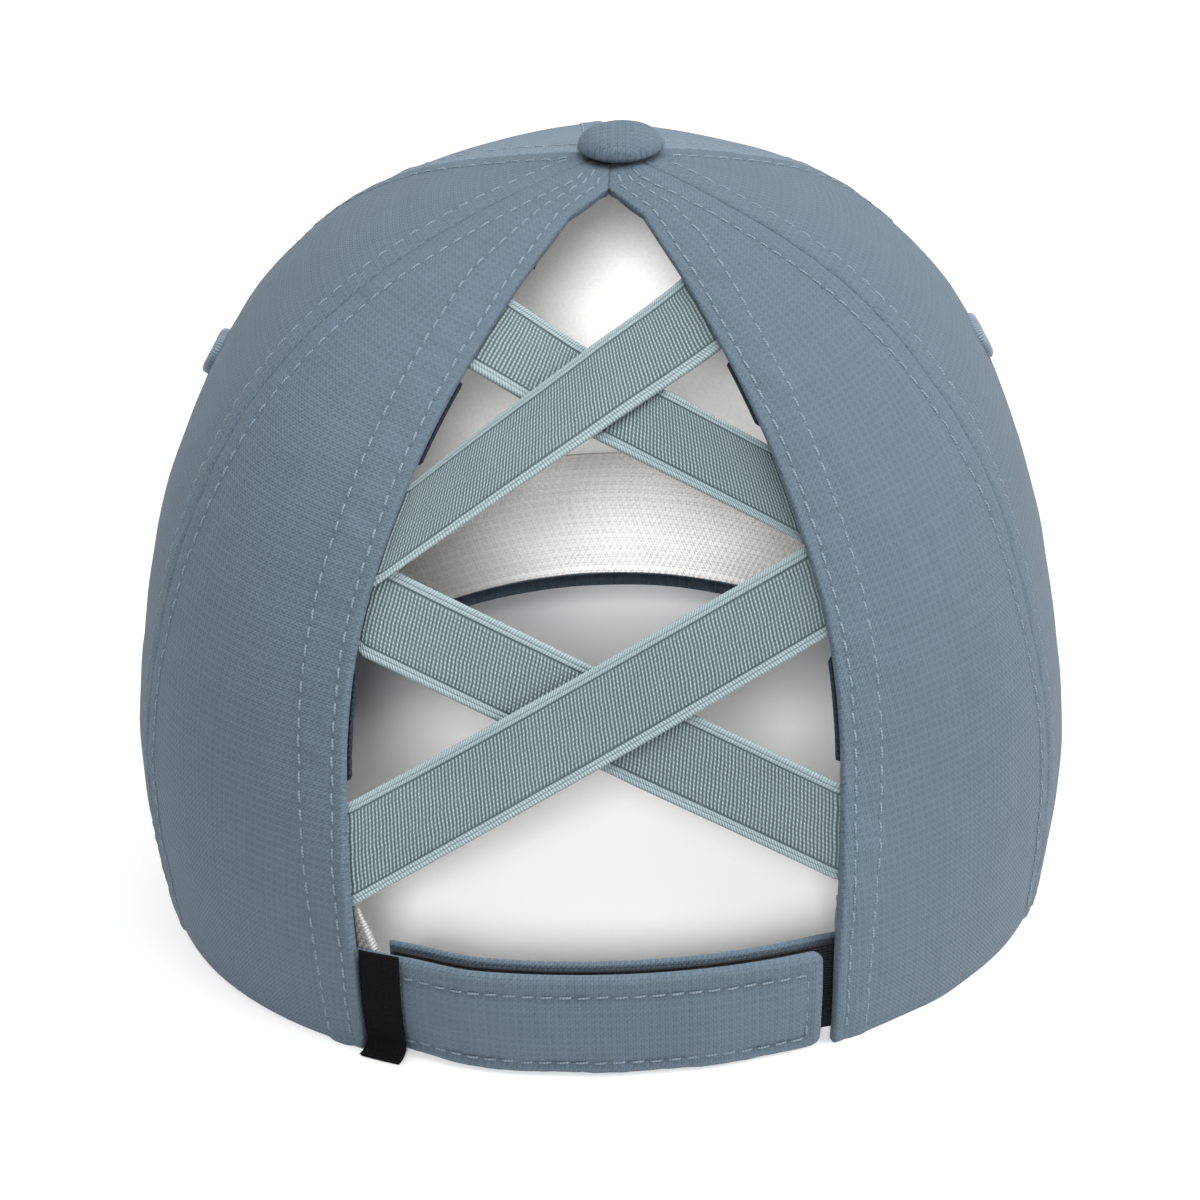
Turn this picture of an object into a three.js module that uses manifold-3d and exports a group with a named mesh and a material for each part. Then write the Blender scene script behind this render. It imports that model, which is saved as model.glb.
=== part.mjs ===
// Ponytail baseball cap: six crown panels, an open back crossed by four elastic bands,
// a rim closure of two overlapping tabs, a curved peak, a sweatband and a covered button.
// Millimetres. In the cap's own frame +Z is up and the back of the head is at +Y.
import * as THREE from 'three';
import Module from 'manifold-3d';
import { mergeVertices } from 'three/addons/utils/BufferGeometryUtils.js';

// Crown
const crownHalfWidth = 86.0;
const crownBackReach = 97.3;
const crownFrontReach = 101.0;
const crownHeight = 121.7;
const apexForward = 21.9;
const apexSide = -4.2;
const tipRise = 2.7;
const tipSpread = 0.22;
const sideFullness = 2.87;
const backFullness = 1.74;
const frontFullness = 2.63;
const rimBackHeight = 4.2;
const rimFrontHeight = 3.3;
const rimSideDrop = 7.6;
const rimTuck = 0.058;
const tuckRise = 0.435;
const seamRidge = 0.025;
const ridgeRise = 0.4;
const panelWall = 1.2;
const topHoleRadius = 4.2;

// Seams between the panels, as turns about the crown from its sides
const backSeamAtRim = 18.9;
const backSeamAtTop = 26.5;
const frontSeam = 31.2;

// Open back
const openingHalfTurn = 34.0;
const openingTop = 0.93;
const openingArch = 0.05;

// Clearances
const seamGap = 0.3;
const plyGap = 0.6;

// Elastic bands
const elasticWall = 1.0;
const elasticTuck = 9.0;
const elasticSag = 3.0;
const elasticCrossGap = 0.9;
const elasticLayerSpread = 0.3;
const elasticSettle = 0.35;
const backSlope = 39.0;

// Tape inside the hems of the open back. Its margin and fade beside a band end are shares
// of the way from the rim to the top.
const tapeWall = 0.8;
const tapeWidth = 10.0;
const tapeShow = 1.0;
const tapeFootGap = 1.2;
const tapeMargin = 0.012;
const tapeFade = 0.022;

// Sweatband
const sweatbandHeight = 27.0;
const sweatbandWall = 1.2;
const sweatbandShow = 3.0;
const sweatbandShowAtTop = -0.5;
const sweatbandBackOff = 4.0;
const sweatbandClear = 1.0;
const sweatbandFade = 13.0;

// Closure
const tabHeight = 20.0;
const tabWall = 1.6;
const tabReach = 37.4;
const tabCorner = 2.0;
const tabFreeDepth = 0.2;
const tabRiseLength = 14.0;
const strapWall = 1.2;
const strapExtra = 0.9;
const strapEnd = 36.5;
const loopWall = 0.8;
const loopMargin = 1.5;
const closureTuck = 12.0;

// Label
const labelWidth = 7.8;
const labelTop = 23.0;
const labelWall = 0.9;
const labelCurl = 2.6;
const labelFoot = 0.4;
const labelCurlShare = 0.3;

// Peak
const peakWall = 2.6;
const peakProjection = 70.0;
const peakSweep = 66.0;
const peakFlare = 20.0;
const peakFall = 8.0;
const peakArch = 19.5;
const peakCorner = 3.0;
const peakRoundness = 2.2;
const peakSeatGap = 0.4;

// Button and eyelets
const buttonRadius = 7.4;
const buttonHeight = 4.3;
const buttonRoundness = 0.7;
const buttonFullness = 0.9;
const buttonSide = -1.6;
const shankRadius = 2.0;
const shankLength = 4.0;
const eyeletTurn = -10.0;
const eyeletRise = 95.0;
const eyeletRadius = 4.4;
const eyeletBore = 1.9;
const eyeletBarrel = 2.9;
const eyeletLip = 0.8;

// Half width of the open back, from the rim up: rise as a share of the opening's rise,
// turn as a share of the widest half turn
const openingOutline = [
  { rise: 0.00, turn: 0.86 },
  { rise: 0.11, turn: 0.86 },
  { rise: 0.22, turn: 0.91 },
  { rise: 0.32, turn: 0.97 },
  { rise: 0.41, turn: 1.00 },
  { rise: 0.54, turn: 0.99 },
  { rise: 0.65, turn: 0.96 },
  { rise: 0.75, turn: 0.91 },
  { rise: 0.86, turn: 0.83 },
  { rise: 0.95, turn: 0.68 },
  { rise: 1.00, turn: 0.55 },
];

// Bands across the open back. Each end is held by the hem between two rises, as shares
// of the way from the rim to the top, under as many other plies as its layer says.
const bandEnds = [
  { name: 'elastic_upper_under', leftTop: 0.763, leftFoot: 0.672, rightTop: 0.580, rightFoot: 0.476,
    over: false, leftLayer: 0, rightLayer: 1 },
  { name: 'elastic_upper_over', leftTop: 0.543, leftFoot: 0.440, rightTop: 0.789, rightFoot: 0.691,
    over: true, leftLayer: 0, rightLayer: 0 },
  { name: 'elastic_lower_under', leftTop: 0.462, leftFoot: 0.376, rightTop: 0.256, rightFoot: 0.169,
    over: false, leftLayer: 1, rightLayer: 0 },
  { name: 'elastic_lower_over', leftTop: 0.246, leftFoot: 0.152, rightTop: 0.470, rightFoot: 0.384,
    over: true, leftLayer: 0, rightLayer: 0 },
];

// Fineness of the facets
const panelColumns = 8;
const panelRows = 16;
const rowCrowding = 1.35;
const tapeColumns = 2;
const tapeRows = 32;
const bandColumns = 18;
const tuckColumns = 3;
const bandRows = 3;
const tabColumns = 24;
const tabRows = 3;
const tabCrowding = 0.85;
const strapColumns = 24;
const strapRows = 2;
const sweatbandColumns = 60;
const sweatbandRows = 4;
const peakColumns = 28;
const peakRows = 7;
const labelColumns = 3;
const labelRows = 12;
const domeSteps = 7;
const roundSides = 20;
const eyeletSides = 12;

const degree = Math.PI / 180;
const wasm = await Module();
wasm.setup();

const { clamp, lerp, smoothstep } = THREE.MathUtils;

// Straight-line reading of a table whose first column rises
function readTable(rows, key, value, at) {
  let index = 1;
  while (index < rows.length - 1 && rows[index][key] < at) index += 1;
  const low = rows[index - 1];
  const high = rows[index];
  const share = clamp((at - low[key]) / (high[key] - low[key]), 0, 1);
  return lerp(low[value], high[value], share);
}

// Outer surface of the crown. turn is in degrees from the wearer's left, 90 at the back;
// rise is 0 at the rim and 1 at the top
function crownPoint(turn, rise) {
  const angle = turn * degree;
  const side = Math.cos(angle);
  const back = Math.sin(angle);
  const endFullness = back > 0 ? backFullness : frontFullness;
  const fullness = sideFullness * side ** 2 + endFullness * back ** 2;
  const across = Math.max(Math.cos(rise * Math.PI / 2), 0);
  const upward = Math.sin(rise * Math.PI / 2);
  const stretch = (across ** fullness + upward ** fullness) ** (-1 / fullness);
  const height = stretch * upward;
  const tuck = rimTuck * Math.max(1 - height / tuckRise, 0) ** 2;
  const flat = seamRidge * Math.cos(3 * angle) ** 2 * Math.min(height / ridgeRise, 1) ** 2;
  const spread = stretch * across * (1 - tuck) * (1 - flat);
  const reach = back > 0 ? crownBackReach : crownFrontReach;
  const rimHeight = lerp(rimBackHeight, rimFrontHeight, (1 - back) / 2) - rimSideDrop * side ** 2;
  return new THREE.Vector3(
    spread * crownHalfWidth * side + (1 - spread) * apexSide,
    spread * reach * back - (1 - spread) * apexForward,
    lerp(rimHeight, crownHeight, height) + tipRise * Math.exp(-((spread / tipSpread) ** 2)),
  );
}

// Direction out of the crown's surface
function crownNormal(turn, rise) {
  const step = 0.004;
  const around = crownPoint(turn + 0.5, rise).sub(crownPoint(turn - 0.5, rise));
  const up = crownPoint(turn, Math.min(rise + step, 1)).sub(crownPoint(turn, Math.max(rise - step, 0)));
  return around.cross(up).normalize();
}

// Point at a depth below the crown's outer surface
function insidePoint(turn, rise, depth) {
  return crownPoint(turn, rise).addScaledVector(crownNormal(turn, rise), -depth);
}

// Degrees of turn that go with a length around the crown
function turnFor(turn, rise, length) {
  const perDegree = crownPoint(turn + 0.5, rise).distanceTo(crownPoint(turn - 0.5, rise));
  return length / perDegree;
}

// Rise reached by climbing a length up the crown's outside from the rim
function riseAfter(turn, length) {
  const step = 0.005;
  let climbed = 0;
  let rise = 0;
  let here = crownPoint(turn, rise);
  while (climbed < length && rise < 1) {
    const next = crownPoint(turn, rise + step);
    const stride = next.distanceTo(here);
    if (climbed + stride > length) return rise + step * (length - climbed) / stride;
    climbed += stride;
    rise += step;
    here = next;
  }
  return rise;
}

// Rise at which the crown is a radius away from the line through its top
function riseAtRadius(turn, radius) {
  let low = 0.5;
  let high = 1;
  for (let pass = 0; pass < 24; pass += 1) {
    const middle = (low + high) / 2;
    const point = crownPoint(turn, middle);
    if (Math.hypot(point.x - apexSide, point.y + apexForward) > radius) low = middle;
    else high = middle;
  }
  return low;
}

// Half turn of the open back at a rise, closing in a small arch at its top
function halfOpening(rise) {
  const turn = openingHalfTurn * readTable(openingOutline, 'rise', 'turn', rise / openingTop);
  const arch = clamp((openingTop - rise) / openingArch, 0, 1);
  return turn * Math.sqrt(arch);
}

// A turn on the wearer's left, or its mirror image on the right
function onSide(side, turn) {
  return side === 'left' ? turn : 180 - turn;
}

const hemTurn = (rise) => 90 - halfOpening(rise);
const backSeamTurn = (rise) => lerp(backSeamAtRim, backSeamAtTop, rise);
const frontSeamTurn = () => -frontSeam;
const centreFrontTurn = () => -90;

// Closed solid between two surfaces given over the same columns and rows
function solidBetween(outer, inner, columns, rows) {
  const positions = [];
  for (const surface of [outer, inner]) {
    for (let row = 0; row <= rows; row += 1) {
      for (let column = 0; column <= columns; column += 1) {
        positions.push(...surface(column / columns, row / rows).toArray());
      }
    }
  }
  const layer = (columns + 1) * (rows + 1);
  const at = (column, row, side) => side * layer + row * (columns + 1) + column;
  const faces = [];
  const quad = (a, b, c, d) => faces.push(a, b, c, a, c, d);
  for (let row = 0; row < rows; row += 1) {
    for (let column = 0; column < columns; column += 1) {
      quad(at(column, row, 0), at(column + 1, row, 0), at(column + 1, row + 1, 0), at(column, row + 1, 0));
      quad(at(column, row + 1, 1), at(column + 1, row + 1, 1), at(column + 1, row, 1), at(column, row, 1));
    }
    quad(at(columns, row, 0), at(columns, row, 1), at(columns, row + 1, 1), at(columns, row + 1, 0));
    quad(at(0, row, 0), at(0, row + 1, 0), at(0, row + 1, 1), at(0, row, 1));
  }
  for (let column = 0; column < columns; column += 1) {
    quad(at(column, 0, 0), at(column, 0, 1), at(column + 1, 0, 1), at(column + 1, 0, 0));
    quad(at(column, rows, 0), at(column + 1, rows, 0), at(column + 1, rows, 1), at(column, rows, 1));
  }
  if (signedVolume(positions, faces) < 0) faces.reverse();
  const geometry = new THREE.BufferGeometry();
  geometry.setAttribute('position', new THREE.Float32BufferAttribute(positions, 3));
  geometry.setIndex(faces);
  return geometry;
}

// Six times the volume that the faces enclose, negative when they point inward
function signedVolume(positions, faces) {
  const corner = (index) => new THREE.Vector3().fromArray(positions, 3 * index);
  let total = 0;
  for (let face = 0; face < faces.length; face += 3) {
    total += corner(faces[face]).dot(corner(faces[face + 1]).cross(corner(faces[face + 2])));
  }
  return total;
}

// Closed solid of a wall on both sides of a middle surface
function solidAbout(middle, wall, columns, rows) {
  const step = 0.002;
  const shifted = (u, v, offset) => {
    const along = middle(Math.min(u + step, 1), v).sub(middle(Math.max(u - step, 0), v));
    const up = middle(u, Math.min(v + step, 1)).sub(middle(u, Math.max(v - step, 0)));
    return middle(u, v).addScaledVector(along.cross(up).normalize(), offset);
  };
  const outer = (u, v) => shifted(u, v, wall / 2);
  const inner = (u, v) => shifted(u, v, -wall / 2);
  return solidBetween(outer, inner, columns, rows);
}

// One crown panel between two seams or edges, from the rim to the small hole at the top
function panelGeometry(side, from, to) {
  const at = (u, v, depth) => {
    const topTurn = onSide(side, lerp(from(1), to(1), u));
    const rise = riseAtRadius(topTurn, topHoleRadius) * (1 - (1 - v) ** rowCrowding);
    const gapTurn = turnFor(onSide(side, from(rise)), rise, seamGap / 2);
    const turn = lerp(from(rise) + gapTurn, to(rise) - gapTurn, u);
    return insidePoint(onSide(side, turn), rise, depth);
  };
  return solidBetween((u, v) => at(u, v, 0), (u, v) => at(u, v, panelWall), panelColumns, panelRows);
}

function solidFrom(geometry) {
  const bare = geometry.clone();
  bare.deleteAttribute('normal');
  bare.deleteAttribute('uv');
  const merged = mergeVertices(bare, 1e-5);
  return new wasm.Manifold(new wasm.Mesh({
    numProp: 3,
    vertProperties: new Float32Array(merged.attributes.position.array),
    triVerts: new Uint32Array(merged.index.array),
  }));
}

function geometryFrom(solid) {
  const mesh = solid.getMesh();
  const geometry = new THREE.BufferGeometry();
  geometry.setAttribute('position', new THREE.BufferAttribute(mesh.vertProperties, 3));
  geometry.setIndex(new THREE.BufferAttribute(mesh.triVerts, 1));
  return geometry;
}

// Place of an eyelet: its point on the crown and the turn of +Z to the crown's normal
function eyeletPlace(side) {
  const turn = onSide(side, eyeletTurn);
  const rise = riseAfter(turn, eyeletRise);
  const axis = new THREE.Vector3(0, 0, 1);
  const facing = new THREE.Quaternion().setFromUnitVectors(axis, crownNormal(turn, rise));
  return { point: crownPoint(turn, rise), facing };
}

// A side panel has a round hole for its eyelet
function sidePanelGeometry(side) {
  const place = eyeletPlace(side);
  const radius = eyeletBarrel + seamGap;
  const length = 2 * (eyeletRadius + panelWall);
  const drill = new THREE.CylinderGeometry(radius, radius, length, eyeletSides);
  drill.rotateX(Math.PI / 2);
  drill.applyQuaternion(place.facing);
  drill.translate(...place.point.toArray());
  const panel = solidFrom(panelGeometry(side, frontSeamTurn, backSeamTurn));
  return geometryFrom(panel.subtract(solidFrom(drill)));
}

// Embroidered eyelet: a lip on the outside and a barrel through the panel
function eyeletGeometry(side) {
  const place = eyeletPlace(side);
  const lipFoot = seamGap;
  const profile = [
    [eyeletBore, -panelWall - eyeletLip],
    [eyeletBarrel, -panelWall - eyeletLip],
    [eyeletBarrel, lipFoot],
    [eyeletRadius, lipFoot],
    [eyeletRadius, lipFoot + eyeletLip / 2],
    [(eyeletRadius + eyeletBore) / 2, lipFoot + eyeletLip],
    [eyeletBore, lipFoot + eyeletLip / 2],
    [eyeletBore, -panelWall - eyeletLip],
  ];
  const ring = new THREE.LatheGeometry(profile.map(([r, z]) => new THREE.Vector2(r, z)), eyeletSides);
  ring.rotateX(Math.PI / 2);
  ring.applyQuaternion(place.facing);
  ring.translate(...place.point.toArray());
  return ring;
}

// Covered button: a domed cap over a shank that goes through the top hole
function buttonGeometry() {
  const profile = [[0, -shankLength], [shankRadius, -shankLength], [shankRadius, 0]];
  for (let step = 0; step <= domeSteps; step += 1) {
    const swing = step / domeSteps * Math.PI / 2;
    profile.push([
      buttonRadius * Math.cos(swing) ** buttonRoundness,
      buttonHeight * Math.sin(swing) ** buttonFullness,
    ]);
  }
  profile[profile.length - 1][0] = 0;
  const dome = new THREE.LatheGeometry(profile.map(([r, z]) => new THREE.Vector2(r, z)), roundSides);
  dome.rotateX(Math.PI / 2);
  dome.translate(apexSide + buttonSide, -apexForward, crownHeight + tipRise + seamGap);
  return dome;
}

// Where one end of a band lies at its hem, and the rise it gains for a length under the hem
function bandEnd(band, side) {
  const leftCentre = (band.leftTop + band.leftFoot) / 2;
  const rightCentre = (band.rightTop + band.rightFoot) / 2;
  const length = crownPoint(hemTurn(leftCentre), leftCentre)
    .distanceTo(crownPoint(180 - hemTurn(rightCentre), rightCentre));
  const slope = (leftCentre - rightCentre) / length;
  if (side === 'left') return { top: band.leftTop, foot: band.leftFoot, layer: band.leftLayer, slope };
  return { top: band.rightTop, foot: band.rightFoot, layer: band.rightLayer, slope: -slope };
}

// How far the hem tape is lifted off the panel by the band ends under it, in plies
function bandLift(side, rise) {
  const lifts = bandEnds.map((band) => {
    const end = bandEnd(band, side);
    const drift = end.slope * elasticTuck;
    const foot = end.foot + Math.min(drift, 0);
    const top = end.top + Math.max(drift, 0);
    const outside = Math.max(foot - rise, rise - top, 0);
    return (end.layer + 1) * (1 - smoothstep(outside, tapeMargin, tapeMargin + tapeFade));
  });
  return Math.max(...lifts);
}

// Tape that covers the band ends inside the hem of a back panel, down to the sweatband
function hemTapeGeometry(side) {
  const foot = riseAfter(hemTurn(0), sweatbandHeight + tapeFootGap);
  const top = openingTop - openingArch;
  const at = (u, v, depth) => {
    const rise = lerp(foot, top, v);
    const lift = bandLift(side, rise);
    const show = lerp(tapeShow, -tapeShow, Math.min(lift, 1));
    const edge = onSide(side, hemTurn(rise));
    const shift = turnFor(edge, rise, lerp(show, -tapeWidth, u));
    const turn = onSide(side, hemTurn(rise) + shift);
    return insidePoint(turn, rise, panelWall + plyGap + lift * plyStep + depth);
  };
  return solidBetween((u, v) => at(u, v, 0), (u, v) => at(u, v, tapeWall), tapeColumns, tapeRows);
}

// The bands lie on one taut sheet that spans the open back. It is drawn in a plane that
// leans with the back: x across, height up the lean, reach out of it.
const leanUp = new THREE.Vector3(0, -Math.sin(backSlope * degree), Math.cos(backSlope * degree));
const leanOut = new THREE.Vector3(0, Math.cos(backSlope * degree), Math.sin(backSlope * degree));
const bandDepth = panelWall + plyGap + elasticWall / 2;
const plyStep = elasticWall + plyGap;

const hemLine = [];
for (let rise = 0; rise <= openingTop - openingArch; rise += 0.01) {
  const left = insidePoint(onSide('left', hemTurn(rise)), rise, bandDepth);
  const right = insidePoint(onSide('right', hemTurn(rise)), rise, bandDepth);
  hemLine.push({ rise, height: left.dot(leanUp), reach: left.dot(leanOut), left: left.x, right: right.x });
}

function sheetPoint(x, height) {
  const left = readTable(hemLine, 'height', 'left', height);
  const right = readTable(hemLine, 'height', 'right', height);
  const reach = readTable(hemLine, 'height', 'reach', height);
  const offCentre = (2 * x - left - right) / (left - right);
  const sag = elasticSag * (1 - offCentre ** 2);
  return new THREE.Vector3(x, 0, 0).addScaledVector(leanUp, height).addScaledVector(leanOut, reach - sag);
}

function sheetNormal(x, height) {
  const across = sheetPoint(x + 1, height).sub(sheetPoint(x - 1, height));
  const up = sheetPoint(x, height + 1).sub(sheetPoint(x, height - 1));
  return up.cross(across).normalize();
}

// Middle surface of one band, with its two ends tucked under the hems
function bandMiddle(band) {
  const hemShare = tuckColumns / (bandColumns + 2 * tuckColumns);
  const ends = { left: bandEnd(band, 'left'), right: bandEnd(band, 'right') };
  const tucked = (side, v, outward) => {
    const rise = lerp(ends[side].foot, ends[side].top, v);
    const deeper = ends[side].layer * plyStep;
    const length = lerp(elasticTuck, elasticLayerSpread * deeper, outward);
    const turn = hemTurn(rise) - turnFor(hemTurn(rise), rise, length);
    return insidePoint(onSide(side, turn), rise + ends[side].slope * length, bandDepth + deeper);
  };
  return (u, v) => {
    if (u <= hemShare) return tucked('left', v, u / hemShare);
    if (u >= 1 - hemShare) return tucked('right', v, (1 - u) / hemShare);
    const leftRise = lerp(band.leftFoot, band.leftTop, v);
    const rightRise = lerp(band.rightFoot, band.rightTop, v);
    const share = (u - hemShare) / (1 - 2 * hemShare);
    const height = lerp(
      readTable(hemLine, 'rise', 'height', leftRise),
      readTable(hemLine, 'rise', 'height', rightRise),
      share,
    );
    const x = lerp(
      readTable(hemLine, 'rise', 'left', leftRise),
      readTable(hemLine, 'rise', 'right', rightRise),
      share,
    );
    const crossing = (band.over ? 1 : -1) * (elasticWall + elasticCrossGap) / 2;
    const offset = share < 0.5
      ? lerp(-ends.left.layer * plyStep, crossing, smoothstep(share, 0, elasticSettle))
      : lerp(crossing, -ends.right.layer * plyStep, smoothstep(share, 1 - elasticSettle, 1));
    return sheetPoint(x, height).addScaledVector(sheetNormal(x, height), offset);
  };
}

function bandGeometry(band) {
  return solidAbout(bandMiddle(band), elasticWall, bandColumns + 2 * tuckColumns, bandRows);
}

// Depths of the plies at the rim closure, counted from the crown's outer surface
const tabDepth = panelWall + plyGap;
const loopDepthUnderHem = panelWall + plyGap;
const labelStartTurn = hemTurn(0) + turnFor(hemTurn(0), 0, 2 * seamGap);
const labelEndTurn = labelStartTurn + turnFor(labelStartTurn, 0, labelWidth);
const tabEndTurn = 90 + Math.asin(tabReach / (crownHalfWidth * (1 - rimTuck))) / degree;
const rightHemTurn = 180 - hemTurn(0);

// The tab comes out to the crown's surface once it has passed the label
function tabDepthAt(turn) {
  const riseTurn = turnFor(labelEndTurn, 0, tabRiseLength);
  return lerp(tabDepth, tabFreeDepth, smoothstep(turn, labelEndTurn, labelEndTurn + riseTurn));
}

// The loop side lies behind the tab and goes under the right hem past the tab's end
function loopDepth(turn) {
  const underTab = tabDepthAt(turn) + tabWall + plyGap;
  const under = turnFor(rightHemTurn, 0, sweatbandBackOff);
  return lerp(underTab, loopDepthUnderHem, smoothstep(turn, tabEndTurn, rightHemTurn + under));
}

// Point brought down to the table along the crown's slope at the rim
function loweredToTable(point, turn, rest) {
  const nearRim = 0.02;
  const slope = crownPoint(turn, nearRim).sub(crownPoint(turn, 0)).normalize();
  return point.addScaledVector(slope, -rest.heightOf(point) / slope.dot(rest.up));
}

// Outer tab: from under the left hem to its rounded end near the right hem. Its lower
// edge lies flat on the table.
function outerTabGeometry(rest) {
  const start = hemTurn(0) - turnFor(hemTurn(0), 0, closureTuck);
  const cornerTurn = turnFor(tabEndTurn, 0, tabCorner);
  const at = (u, v, depth) => {
    const turn = lerp(start, tabEndTurn, u ** tabCrowding);
    const fromEnd = clamp((tabEndTurn - turn) / cornerTurn, 0, 1);
    const rounding = tabCorner * (1 - Math.sqrt(1 - (1 - fromEnd) ** 2));
    const height = lerp(rounding, tabHeight - rounding, v);
    const point = insidePoint(turn, riseAfter(turn, height), tabDepthAt(turn) + depth);
    return height === 0 ? loweredToTable(point, turn, rest) : point;
  };
  return solidBetween((u, v) => at(u, v, 0), (u, v) => at(u, v, tabWall), tabColumns, tabRows);
}

// Inner strap: from under the right hem to its hidden end behind the outer tab
function innerStrapGeometry() {
  const end = 90 - Math.asin(strapEnd / (crownHalfWidth * (1 - rimTuck))) / degree;
  const start = rightHemTurn + turnFor(rightHemTurn, 0, closureTuck);
  const at = (u, v, depth) => {
    const turn = lerp(start, end, u);
    const height = lerp(strapExtra, tabHeight + strapExtra, v);
    return insidePoint(turn, riseAfter(turn, height), loopDepth(turn) + loopWall + plyGap + depth);
  };
  return solidBetween((u, v) => at(u, v, 0), (u, v) => at(u, v, strapWall), strapColumns, strapRows);
}

// Loop tape sewn on the inner strap
function loopTapeGeometry() {
  const end = 90 - Math.asin((strapEnd - loopMargin) / (crownHalfWidth * (1 - rimTuck))) / degree;
  const start = rightHemTurn + turnFor(rightHemTurn, 0, closureTuck - loopMargin);
  const at = (u, v, depth) => {
    const turn = lerp(start, end, u);
    const height = lerp(strapExtra + loopMargin / 2, tabHeight, v);
    return insidePoint(turn, riseAfter(turn, height), loopDepth(turn) + depth);
  };
  return solidBetween((u, v) => at(u, v, 0), (u, v) => at(u, v, loopWall), strapColumns, strapRows);
}

// Sweatband: round the inside of the rim from the left hem over the front to the right hem.
// Near its ends it runs inside the closure's plies. Its left end slants above the tab.
function sweatbandGeometry() {
  const leftLift = tabWall + plyGap;
  const rightLift = loopWall + plyGap + strapWall + plyGap;
  const near = closureTuck + sweatbandClear;
  const far = near + sweatbandFade;
  const at = (u, v, depth) => {
    const height = lerp(plyGap, sweatbandHeight, v);
    const show = lerp(sweatbandShow, sweatbandShowAtTop, smoothstep(height, tabHeight, sweatbandHeight));
    const leftEnd = hemTurn(0) + turnFor(hemTurn(0), 0, show);
    const rightEnd = rightHemTurn - 360 + turnFor(rightHemTurn, 0, sweatbandBackOff);
    const turn = lerp(leftEnd, rightEnd, u);
    const perLength = turnFor(turn, 0, 1);
    const fromLeft = (hemTurn(0) - turn) / perLength;
    const fromRight = (turn - rightEnd) / perLength + sweatbandBackOff;
    const lift = leftLift * (1 - smoothstep(fromLeft, near, far))
      + rightLift * (1 - smoothstep(fromRight, near, far));
    return insidePoint(turn, riseAfter(turn, height), panelWall + plyGap + lift + depth);
  };
  const outer = (u, v) => at(u, v, 0);
  const inner = (u, v) => at(u, v, sweatbandWall);
  return solidBetween(outer, inner, sweatbandColumns, sweatbandRows);
}

// Middle surface of the peak. u runs along the rim from one side to the other, v forward
function peakMiddle(u, v) {
  const sway = 2 * u - 1;
  const turn = -90 + sway * peakSweep;
  const seat = insidePoint(turn, 0, panelWall / 2);
  seat.z -= peakSeatGap + peakWall / 2;
  const corner = crownPoint(-90 + peakSweep, 0);
  const front = crownPoint(-90, 0);
  const swing = Math.PI / 2 * (1 - Math.abs(sway));
  const power = 2 / peakRoundness;
  const edgeX = Math.sign(sway)
    * ((corner.x + peakCorner) * Math.cos(swing) ** power + peakFlare * Math.sin(2 * swing));
  const edgeY = corner.y - (corner.y - front.y + peakProjection) * Math.sin(swing) ** power;
  const width = Math.hypot(edgeX - seat.x, edgeY - seat.y);
  const x = lerp(seat.x, edgeX, v);
  const y = lerp(seat.y, edgeY, v);
  const forward = width * v / peakProjection;
  const widest = corner.x + peakFlare / 2;
  const drop = forward * (peakFall + peakArch * (x / widest) ** 2);
  return new THREE.Vector3(x, y, seat.z - drop);
}

function peakGeometry() {
  return solidAbout(peakMiddle, peakWall, peakColumns, peakRows);
}

// The cap rests on its back rim and the two side edges of the peak. This is the lean
// about X at which both are equally low.
function restPose() {
  const rim = [];
  for (let turn = 0; turn <= 180; turn += 2) rim.push(crownPoint(turn, 0));
  const peak = peakGeometry().attributes.position;
  const edges = [];
  for (let index = 0; index < peak.count; index += 1) {
    edges.push(new THREE.Vector3().fromBufferAttribute(peak, index));
  }
  const lowest = (points, lean) => Math.min(
    ...points.map((point) => point.z * Math.cos(lean) - point.y * Math.sin(lean)),
  );
  let low = 0;
  let high = 0.5;
  for (let pass = 0; pass < 40; pass += 1) {
    const middle = (low + high) / 2;
    if (lowest(edges, middle) < lowest(rim, middle)) low = middle;
    else high = middle;
  }
  const up = new THREE.Vector3(0, -Math.sin(low), Math.cos(low));
  const floor = lowest(rim, low);
  return { lean: low, up, heightOf: (point) => point.dot(up) - floor };
}

// Folded label at the left end of the tab. Its foot curls outward above the table.
function labelGeometry(rest) {
  const depth = tabDepth - plyGap - labelWall / 2;
  const bendHeight = labelFoot + labelWall / 2 + labelCurl;
  const middle = (u, v) => {
    const turn = lerp(labelStartTurn, labelEndTurn, u);
    const bendRise = riseAfter(turn, bendHeight - rest.heightOf(insidePoint(turn, 0, depth)));
    if (v >= labelCurlShare) {
      const share = (v - labelCurlShare) / (1 - labelCurlShare);
      return insidePoint(turn, lerp(bendRise, riseAfter(turn, labelTop), share), depth);
    }
    const swing = (1 - v / labelCurlShare) * Math.PI / 2;
    const out = crownNormal(turn, 0).projectOnPlane(rest.up).normalize();
    return insidePoint(turn, bendRise, depth)
      .addScaledVector(out, labelCurl * (1 - Math.cos(swing)))
      .addScaledVector(rest.up, -labelCurl * Math.sin(swing));
  };
  return solidAbout(middle, labelWall, labelColumns, labelRows);
}

function cloth(color, roughness) {
  return new THREE.MeshStandardMaterial({ color, roughness, metalness: 0 });
}

const shellCloth = cloth(0x6f8495, 0.85);
const elasticCloth = cloth(0x93a8ab, 0.8);
const blackCloth = cloth(0x1c1e22, 0.9);
const threadCloth = cloth(0x7b90a0, 0.7);
const labelCloth = cloth(0x1a1b1d, 0.7);

const cap = new THREE.Group();

function add(name, geometry, material) {
  const mesh = new THREE.Mesh(geometry, material);
  mesh.name = name;
  cap.add(mesh);
}

const rest = restPose();

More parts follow.
